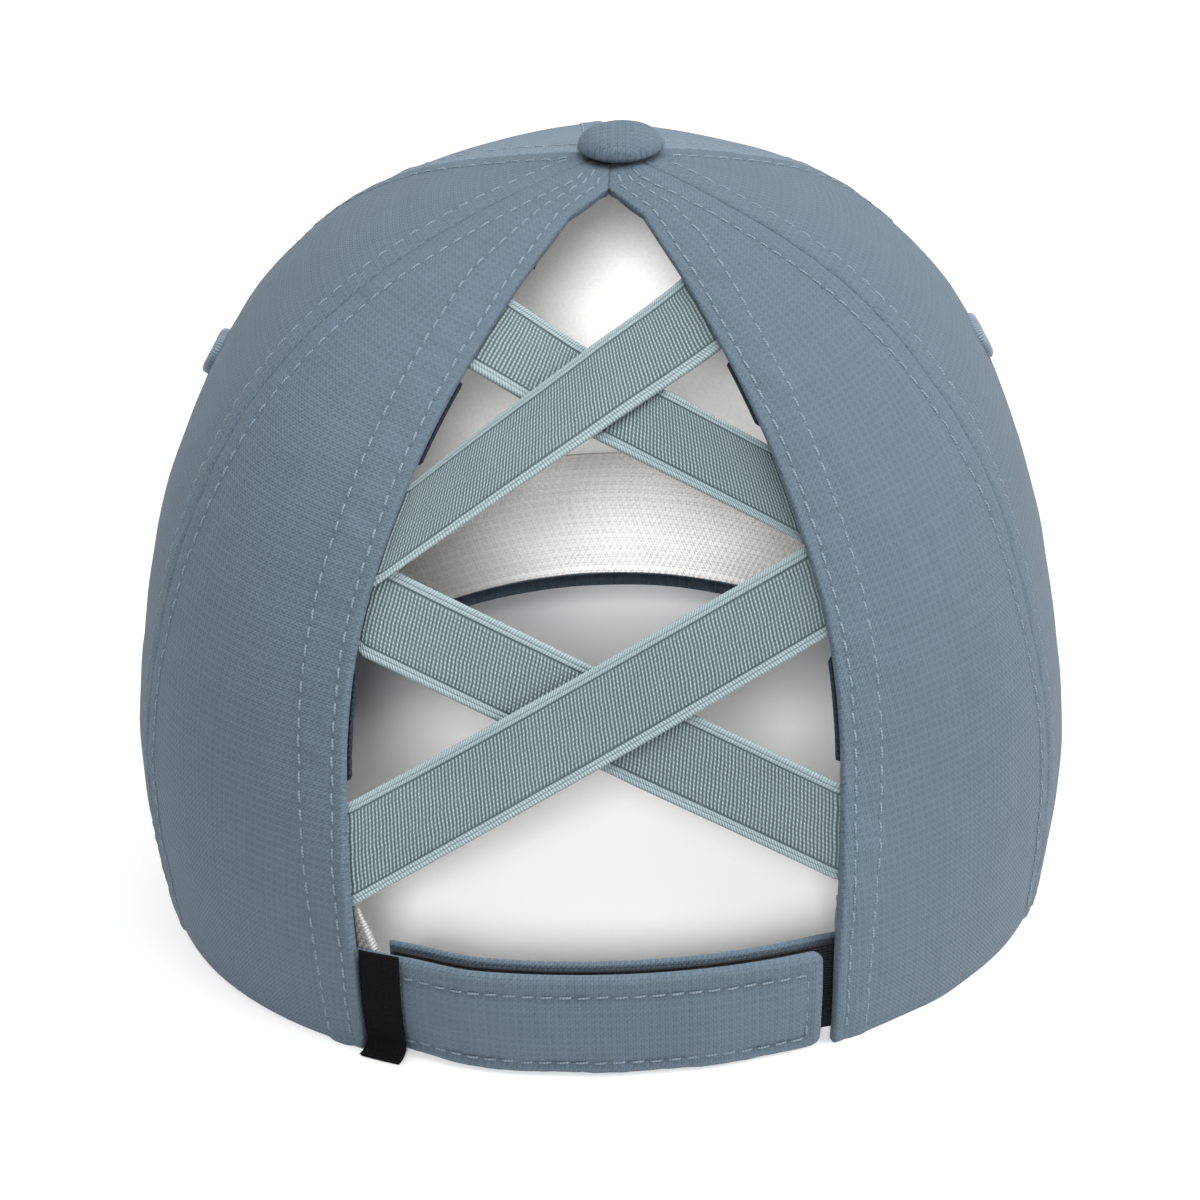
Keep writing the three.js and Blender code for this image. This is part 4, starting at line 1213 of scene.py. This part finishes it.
def makeTab():
    # cloth strip turned in at its edges and stitched round, with small rounded corners
    start = leftHem - rimTurnFor(leftHem, closure["tuck"])
    total = rimLength(start, tabEndTurn)
    free = np.array([0, 0.02, 0.06, 0.14, 0.28, 0.5, 0.8, 1.2, 1.7, 2.3, 3.0, 3.7, 4.4, 5.2, 6.2, 7.4])
    along = np.concatenate([np.linspace(0, total - 8.4, 120), total - free[::-1]])
    turn = lerp(start, tabEndTurn, along / total)
    height0 = edgeSteps(closure["height"], fineSteps, 10)
    fromEnd = (total - along)[None, :]
    corner = closure["corner"]
    rounding = corner * (1 - np.sqrt(1 - (1 - np.clip(fromEnd / corner, 0, 1)) ** 2))
    height = lerp(rounding, closure["height"] - rounding, height0[:, None] / closure["height"])
    turns = turn[None, :] + 0 * height
    rise = riseAfter(turns, height)
    normal = crownNormal(turns, rise)
    surface = moved(crownPoint(turns, rise), normal, -tabDepthAt(turns))
    fromSide = np.minimum(height, closure["height"] - height)
    inCorner = (fromEnd < corner) & (fromSide < corner)
    cornerDistance = corner - np.hypot(corner - fromEnd, corner - fromSide)
    distance = np.maximum(np.where(inCorner, cornerDistance, np.minimum(fromSide, fromEnd)), 0)
    path = along[None, :] + 0 * height
    fromRow = np.minimum(closure["height"] - closure["topRow"] - height, height - closure["footRow"])
    fromRow = np.minimum(fromRow, fromEnd - closure["endRow"])
    edgePuff = closure["edgePuff"] * smooth(0, 1.4, distance) * smooth(0.0, -1.2, fromRow)
    puff = edgePuff + closure["middlePuff"] * smooth(0.2, 3, fromRow)
    creases = closure["creases"] * ripple(onCloth(path, height), 16.0, 71)
    relief = puff + rowPucker(fromRow, 0, path + height) + creases
    fineCreases = closure["fineCreases"] * ripple(onCloth(path * 2, height), 6.0, 72)
    relief += fineCreases * bell(fromRow, -1.0, 2.2)
    roll = rollOff(distance, closure["edgeRound"])
    outer, inner = moved(surface, normal, relief - roll), moved(surface, normal, roll - closure["tabWall"])
    uv = np.stack([path, height], -1)
    makeWall("closure_tab_cloth", "closure_tab", outer, inner, uv, distance, shellCloth)


def makeRimStrip(name, node, reach, hemTuck, low, high, depthExtra, wall, material, bumps):
    # a strip behind the tab, from its hidden end to its end under the right hem
    end = 90 - np.degrees(np.arcsin(reach / rimHalfWidth))
    start = rightHem + rimTurnFor(rightHem, hemTuck)
    total = rimLength(end, start)
    along = edgeSteps(total, thinSteps, 130)
    height = edgeSteps(high - low, thinSteps, 9)[:, None] + low
    turn = lerp(end, start, along / total)[None, :] + 0 * height
    height = height + 0 * turn
    rise = riseAfter(turn, height)
    normal = crownNormal(turn, rise)
    surface = moved(crownPoint(turn, rise), normal, -(loopDepth(turn) + depthExtra))
    distance = np.minimum(np.minimum(height - low, high - height), np.minimum(along, total - along)[None, :])
    roll = rollOff(distance, 0.45 * wall)
    path = along[None, :] + 0 * height
    relief = bumps * ripple(onCloth(path, height), 9.0, 81)
    outer, inner = moved(surface, normal, relief - roll), moved(surface, normal, roll - wall)
    uv = np.stack([path, height], -1)
    makeWall(name, node, outer, inner, uv, distance, material)


# Label: a black woven strip folded over, blank, its foot curled outward above the table

def makeLabel():
    # down the panel, then a quarter turn outward that ends a little above the table
    lean = np.radians(rest["lean"])
    restUp = np.array([0, -np.sin(lean), np.cos(lean)])
    heightOf = lambda points: points @ restUp + rest["lift"]
    turn = np.linspace(labelStart, labelEnd, 26)[None, :]
    depth = tabDepth - plyGap - label["wall"] / 2
    foot = crownInside(turn, 0.0, depth)
    bendHeight = label["foot"] + label["wall"] / 2 + label["curl"]
    bendRise = riseAfter(turn, bendHeight - heightOf(foot))
    topRise = riseAfter(turn, label["top"])
    upper = np.linspace(0, 1, 60)[:, None]
    rise = lerp(bendRise, topRise, upper)
    straight = crownInside(turn, rise, depth)
    swing = np.linspace(np.pi / 2, 0, 26)[:-1, None]
    flat = crownNormal(turn, 0.0)
    flat = unit(flat - (flat @ restUp)[..., None] * restUp)
    bend = crownInside(turn, bendRise, depth)
    swept = (1 - np.cos(swing))[..., None] * flat - np.sin(swing)[..., None] * restUp
    curl = bend + label["curl"] * swept
    middle = np.concatenate([curl, straight])
    normal = gridNormals(middle)
    up = lengthsAlong(middle, 0)
    width = lengthsAlong(middle, 1)
    distance = np.minimum(fromBothEnds(width, 1), fromBothEnds(up, 0))
    half = label["wall"] / 2 - rollOff(distance, 0.4)
    outer, inner = moved(middle, normal, half), moved(middle, normal, -half)
    uv = np.stack([width, up], -1)
    makeWall("label_weave", "label", outer, inner, uv, distance, labelWeave)


# Sweatband: round the inside of the rim, padded between its edges

def makeSweatband():
    # a padded strip under the crown, lifted over the closure's ends, its left end slanted
    leftLift = closure["tabWall"] + plyGap
    rightLift = closure["loopWall"] + plyGap + closure["strapWall"] + plyGap
    bandSteps = edgeSteps(sweatband["height"] - plyGap, (0, 0.05, 0.15, 0.35, 0.7, 1.2, 2, 3), 8)
    height = plyGap + bandSteps[:, None]
    slantFrom = sweatband["slantFrom"]
    slant = np.clip((height - slantFrom) / (sweatband["height"] - slantFrom), 0, 1)
    leftEnd = leftHem + lerp(sweatband["show"], sweatband["showAtTop"], slant) * rimTurnFor(leftHem, 1.0)
    rightEnd = rightHem - 360 + rimTurnFor(rightHem, sweatband["backOff"])
    turn = lerp(leftEnd, rightEnd, np.linspace(0, 1, 340)[None, :])
    height = height + 0 * turn
    rise = riseAfter(turn, height)
    perLength = turnFor(turn, 0.0, 1.0)
    fromLeft = (leftHem - turn) / perLength
    fromRight = (turn - rightEnd) / perLength + sweatband["backOff"]
    near = closure["tuck"] + sweatband["clear"]
    far = near + sweatband["fade"]
    lift = leftLift * (1 - smooth(near, far, fromLeft))
    lift += rightLift * (1 - smooth(near, far, fromRight))
    normal = crownNormal(turn, rise)
    surface = moved(crownPoint(turn, rise), normal, -(crown["wall"] + plyGap + lift))
    along = lengthsAlong(surface, 1)
    distance = np.minimum(height - plyGap, sweatband["height"] - height)
    roll = rollOff(distance, sweatband["edgeRound"])
    pad = sweatband["pad"] * smooth(1.5, 6, distance)
    pad += sweatband["creases"] * ripple(onCloth(along, height), 12.0, 91)
    pad += rowPucker(distance, sweatband["row"], along)
    outer, inner = moved(surface, normal, -roll), moved(surface, normal, -(sweatband["wall"] - roll + pad))
    uv = np.stack([along, height], -1)
    makeWall(
        "sweatband_knit", "sweatband", outer, inner, uv, distance, sweatKnit, backing=1.0,
    )


# Peak: curved stiff sheet covered in the shell cloth, with rows of stitches along its edge

peak = {
    "wall": 2.6, "projection": 70.0, "sweep": 66.0, "flare": 20.0, "fall": 8.0, "arch": 19.5,
    "corner": 3.0, "roundness": 2.2, "seat": 0.4, "rows": [3.0, 10.5, 18.0, 25.5, 33.0, 40.5],
    "edgeRound": 1.25, "creases": 0.06, "rowDeep": 0.9,
}


def peakParts(sway):
    # seat on the rim and outer edge of the peak for a sway from -1 to 1: the edge is a
    # superellipse from corner to corner, flared between them by a sine
    turn = -90 + sway * peak["sweep"]
    seat = crownInside(turn, 0.0, crown["wall"] / 2)
    seat = seat - np.array([0, 0, peak["seat"] + peak["wall"] / 2])
    corner, front = crownPoint(np.array(-90 + peak["sweep"]), 0.0), crownPoint(np.array(-90.0), 0.0)
    swing = np.pi / 2 * (1 - np.abs(sway))
    power = 2 / peak["roundness"]
    oval = (corner[0] + peak["corner"]) * np.cos(swing) ** power
    x = np.sign(sway) * (oval + peak["flare"] * np.sin(2 * swing))
    y = corner[1] - (corner[1] - front[1] + peak["projection"]) * np.sin(swing) ** power
    widest = corner[0] + peak["flare"] / 2
    return seat, x, y, widest


def peakMiddle(sway, forward):
    # straight from the seat to the edge, falling with the way out and with the square of the side
    # distance, so that the peak arches
    seat, edgeX, edgeY, widest = peakParts(sway)
    width = np.hypot(edgeX - seat[..., 0], edgeY - seat[..., 1])
    x = lerp(seat[..., 0], edgeX, forward)
    y = lerp(seat[..., 1], edgeY, forward)
    drop = width * forward / peak["projection"] * (peak["fall"] + peak["arch"] * (x / widest) ** 2)
    return np.stack([x, y, seat[..., 2] - drop], -1), width


def makePeak():
    # middle surface with both faces half a wall away, rounded off at the edge
    sway = np.sin(np.linspace(-1, 1, 201) * np.pi / 2)[None, :]
    edge = np.array([0, 0.04, 0.12, 0.3, 0.6, 1.0, 1.5, 2.2])
    forward = np.concatenate([np.linspace(0, 0.955, 74), 1 - edge[::-1] / peak["projection"]])[:, None]
    sway, forward = np.broadcast_arrays(sway, forward)
    middle, width = peakMiddle(sway, forward)
    normal = gridNormals(middle)
    normal = normal * np.sign(normal[..., 2:])
    toEdge = width * (1 - forward)
    along = lengthsAlong(middle, 1)
    rows = sum(rowPucker(toEdge, row, along) * smooth(row + 2, row + 6, width) for row in peak["rows"])
    roll = rollOff(np.minimum(toEdge, width * forward + 0.6), peak["edgeRound"])
    half = peak["wall"] / 2 - roll + peak["rowDeep"] * rows
    cover = peak["creases"] * ripple(middle, 15.0, 61)
    outer, inner = moved(middle, normal, half + cover), moved(middle, normal, -(half - cover))
    makeWall("peak_cloth", "peak", outer, inner, middle[..., :2], toEdge, shellCloth)


# Stitches: each one a short thread that rises out of one needle hole and dives into the next

stitch = {"rings": 7, "sides": 6, "slant": 0.16, "scatter": 0.06}
# dark is painted shade: none on the thread's body, and a dark needle-hole disc that stands in for the shadow
# in the hole
thread = {"length": 2.6, "thick": 0.42, "lift": 0.07, "sink": 0.26, "flat": 0.8, "dark": 0.0}
needleHole = {"length": 0.55, "thick": 0.4, "lift": 0.02, "sink": 0.0, "flat": 0.14, "dark": 0.62}


def shortTubes(path, normal, run, middles, look, random):
    # a tube over each middle of a path, its height and radius arched from end to end
    share = np.linspace(0, 1, stitch["rings"])
    at = middles[:, None] + (share - 0.5) * look["length"]
    read = lambda values: np.stack([np.interp(at, run, values[:, k]) for k in range(3)], -1)
    centre, out = read(path), unit(read(normal))
    ahead = unit(read(np.gradient(path, run, axis=0)))
    across = unit(np.cross(out, ahead))
    arch = np.sqrt(1 - np.abs(2 * share - 1) ** 3)
    height = look["lift"] * arch - look["sink"] * (1 - arch)
    sway = (share - 0.5) * stitch["slant"] + random.normal(0, stitch["scatter"], (len(middles), 1))
    centre = centre + out * height[:, None] + across * sway[..., None]
    size = random.uniform(0.9, 1.1, (len(middles), 1, 1))
    radius = look["thick"] / 2 * (0.3 + 0.7 * arch)[:, None] * size
    spin = np.arange(stitch["sides"]) * 2 * np.pi / stitch["sides"]
    wide = across[:, :, None] * (radius * np.cos(spin))[..., None]
    high = out[:, :, None] * (radius * look["flat"] * np.sin(spin))[..., None]
    points = centre[:, :, None] + wide + high
    index = np.arange(stitch["rings"] * stitch["sides"]).reshape(stitch["rings"], stitch["sides"])
    first, last = index[0], index[-1]
    caps = [first[[3, 2, 1, 0]], first[[5, 4, 3, 0]], last[[0, 1, 2, 3]], last[[0, 3, 4, 5]]]
    quads = np.concatenate([tubeQuads(index), caps])
    quads = (quads + (np.arange(len(middles)) * index.size)[:, None, None]).reshape(-1, 4)
    uv = np.stack(np.broadcast_arrays(at[:, :, None], spin / (2 * np.pi) * 1000), -1).reshape(-1, 2)
    # painted shade: darker over the last part at each end, where the thread goes into the cloth, and over the
    # whole needle hole
    dive = np.maximum(look["dark"], smooth(0.34, 0.5, np.abs(share - 0.5)) * 0.8)
    dive = np.broadcast_to(dive[None, :, None], points.shape[:3]).ravel()
    return points.reshape(-1, 3), quads, uv, dive


def stitchRow(path, normal, run, seed):
    # threads between whole pitches of the run, and a needle hole at each pitch
    random = np.random.default_rng(seed)
    first, last = np.ceil(run[0] / stitchPitch), np.floor(run[-1] / stitchPitch)
    holes = np.arange(first, last + 1) * stitchPitch
    threads = shortTubes(path, normal, run, holes[:-1] + stitchPitch / 2, thread, random)
    return threads, shortTubes(path, normal, run, holes, needleHole, random)


def stitchPiece(name, rows):
    # every thread and needle hole of the rows in one mesh
    points, quads, uv, dive = zip(*[part for row in rows for part in row])
    firsts = np.cumsum([0] + [len(part) for part in points[:-1]])
    quads = np.concatenate([part + first for part, first in zip(quads, firsts)])
    points, uv, dive = (np.concatenate(parts) for parts in (points, uv, dive))
    placePiece(finishPiece(name, toRest(points), quads, uv, {"dive": dive}, sewingThread), None)


def tabRows():
    # round the free end of the tab, a little in from its edge
    corner = closure["rowCorner"]
    start = leftHem + rimTurnFor(leftHem, 0.5)
    total = rimLength(start, tabEndTurn)
    end = total - closure["endRow"]
    low, high = closure["footRow"], closure["height"] - closure["topRow"]
    sweep = np.linspace(-np.pi / 2, np.pi / 2, 60)
    bendX = end - corner + corner * np.cos(sweep)
    bendY = np.where(sweep < 0, low + corner, high - corner) + corner * np.sin(sweep)
    straight = np.linspace(0, end - corner, 160)[:-1]
    along = np.concatenate([straight, bendX, straight[::-1]])
    up = np.concatenate([np.full(len(straight), low), bendY, np.full(len(straight), high)])
    turn = lerp(start, tabEndTurn, along / total)
    rise = riseAfter(turn, up)
    normal = crownNormal(turn, rise)
    path = moved(crownPoint(turn, rise), normal, -(tabDepthAt(turn) + 0.02))
    return [stitchRow(path, normal, lengthsAlong(path, 0), 151)]


def peakRows():
    # rows that follow the peak's edge at their offsets, on both of its faces
    rows = []
    for number, row in enumerate(peak["rows"]):
        sway = np.linspace(-0.985, 0.985, 400)
        _, width = peakMiddle(sway, np.ones(400))
        sway = sway[width > row + 5]
        middle, width = peakMiddle(sway, np.zeros(len(sway)))
        middle, _ = peakMiddle(sway, 1 - row / width)
        ahead, _ = peakMiddle(sway, 1 - (row - 0.5) / width)
        normal = unit(np.cross(np.gradient(middle, axis=0), ahead - middle))
        normal = normal * np.sign(normal[:, 2:])
        for way in (1, -1):
            path = middle + way * normal * (peak["wall"] / 2 - 0.1)
            rows.append(stitchRow(path, way * normal, lengthsAlong(path, 0), 160 + number))
    return rows


# Floor and light

studio = {
    "floor": 60.0, "air": 0.66, "backdrop": 1.0,
    "rightKey": {"name": "rightKey", "from": (-0.86, 0.3, 0.42), "spread": 45.0, "strength": 0.55},
    "topLight": {"name": "topSoft", "from": (-0.1, 0.2, 1.0), "spread": 60.0, "strength": 1.06},
    "floorLight": {"name": "floorSoft", "from": (-0.1, 0.25, 1.0), "spread": 50.0, "strength": 0.26},
    "openingLight": {
        "name": "openingSpot", "place": (0.02, 1.3, 0.52), "aim": (0.0, 0.03, 0.05),
        "cone": 13.0, "radius": 0.12, "power": 170.0, "blend": 0.6,
    },
    "openingReaches": ["floor", "panel_front_left_cloth", "panel_front_right_cloth", "sweatband_knit"],
}


def makeFloor():
    # a wide flat square at height 0
    half = studio["floor"] / 2
    corners = [(-half, -half, 0), (half, -half, 0), (half, half, 0), (-half, half, 0)]
    mesh = bpy.data.meshes.new("floor")
    mesh.from_pydata(corners, [], [(0, 1, 2, 3)])
    mesh.materials.append(floorMaterial())
    floor = bpy.data.objects.new("floor", mesh)
    bpy.context.scene.collection.objects.link(floor)


def placeLamp(data, place, back):
    # a lamp that shines against the direction back
    lamp = bpy.data.objects.new(data.name, data)
    right = unit(np.cross((0, 0, 1), back))
    matrix = np.eye(4)
    matrix[:3, :3] = np.stack([right, np.cross(back, right), back], 1)
    matrix[:3, 3] = place
    lamp.matrix_world = Matrix(matrix.tolist())
    bpy.context.scene.collection.objects.link(lamp)
    return lamp


def makeLamp(spec):
    # broad soft light from one direction; strength 1 lights a white surface to full white
    data = bpy.data.lights.new(spec["name"], "SUN")
    data.angle = np.radians(spec["spread"])
    data.energy = spec["strength"] * np.pi
    return placeLamp(data, (0, 0, 1), unit(np.array(spec["from"])))


def reachOnly(lamp, names):
    # the lamp lights the named pieces and nothing else
    reached = bpy.data.collections.new(lamp.name)
    for name in names:
        reached.objects.link(bpy.data.objects[name])
    lamp.light_linking.receiver_collection = reached


def makeAir():
    # white studio air, dimmer as a light than as a backdrop
    world = bpy.data.worlds.new("studioAir")
    world.use_nodes = True
    tree = world.node_tree
    path = tree.nodes.new("ShaderNodeLightPath")
    strength = remap(tree, path.outputs["Is Camera Ray"], 0, 1, studio["air"], studio["backdrop"])
    shader = tree.nodes["Background"]
    shader.inputs["Color"].default_value = (1, 1, 1, 1)
    tree.links.new(strength, shader.inputs["Strength"])
    bpy.context.scene.world = world
    bpy.context.scene.view_settings.view_transform = "Standard"


def lightCap(names):
    # the top light is kept off the floor, which has its own, and a spot lights what the open back shows
    reachOnly(makeLamp(studio["topLight"]), names)
    reachOnly(makeLamp(studio["floorLight"]), ["floor"])
    spec = studio["openingLight"]
    data = bpy.data.lights.new(spec["name"], "SPOT")
    data.energy = spec["power"]
    data.spot_size = np.radians(spec["cone"])
    data.spot_blend = spec["blend"]
    data.shadow_soft_size = spec["radius"]
    back = unit(np.array(spec["place"]) - np.array(spec["aim"]))
    reachOnly(placeLamp(data, spec["place"], back), studio["openingReaches"])


makeCamera()
makeFloor()
makeAir()
makeLamp(studio["rightKey"])
print("camera and studio ready")

weave, patches, webbing = weaveGroup(), patchGroup(), webbingGroup()
shellCloth = shellMaterial(weave, patches)
elasticWebbing = webbingMaterial(webbing, patches)
hemTape, sweatKnit, labelWeave = (trimMaterial(name, weave) for name in trimLook)
loopPile = pileMaterial()
sewingThread = threadMaterial()
print("materials ready")

panels = [
    ("front", centreFrontTurn, frontSeamTurn, ("seam", "seam")),
    ("side", frontSeamTurn, backSeamTurn, ("seam", "seam")),
    ("back", backSeamTurn, hemTurn, ("seam", "hem")),
]
for side, salt in (("left", 301), ("right", 351)):
    for number, (place, start, end, kinds) in enumerate(panels):
        hole = (*eyeletPlace(side), eyelet["barrel"] + eyelet["room"]) if place == "side" else None
        makePanel(f"panel_{place}_{side}", side, start, end, kinds, salt + 10 * number, hole)
    makeEyelet(side)
    makeHemTape(side)
makeButton()
print("crown ready")

for number, spec in enumerate(bandEnds):
    makeBand(spec, 401 + number)
print("bands ready")

makeTab()
makeRimStrip(
    "closure_strap_cloth", "closure_strap", closure["strapEnd"], closure["tuck"],
    closure["strapExtra"], closure["height"] + closure["strapExtra"],
    closure["loopWall"] + plyGap, closure["strapWall"], shellCloth, 0.04,
)
makeRimStrip(
    "closure_loop_pile", "closure_loop", closure["strapEnd"] - closure["loopMargin"],
    closure["tuck"] - closure["loopMargin"], closure["strapExtra"] + closure["loopMargin"] / 2,
    closure["height"], 0.0, closure["loopWall"], loopPile, 0.03,
)
makeLabel()
makeSweatband()
print("closure and sweatband ready")

makePeak()
print("peak ready")

stitchPiece("stitches_seams", seamStitches)
stitchPiece("stitches_hems", hemStitches)
stitchPiece("stitches_tab", tabRows())
stitchPiece("stitches_peak", peakRows())
print("stitches ready")

lightCap([thing.name for thing in bpy.data.objects if thing.type == "MESH" and thing.name != "floor"])
print("cap lights ready")
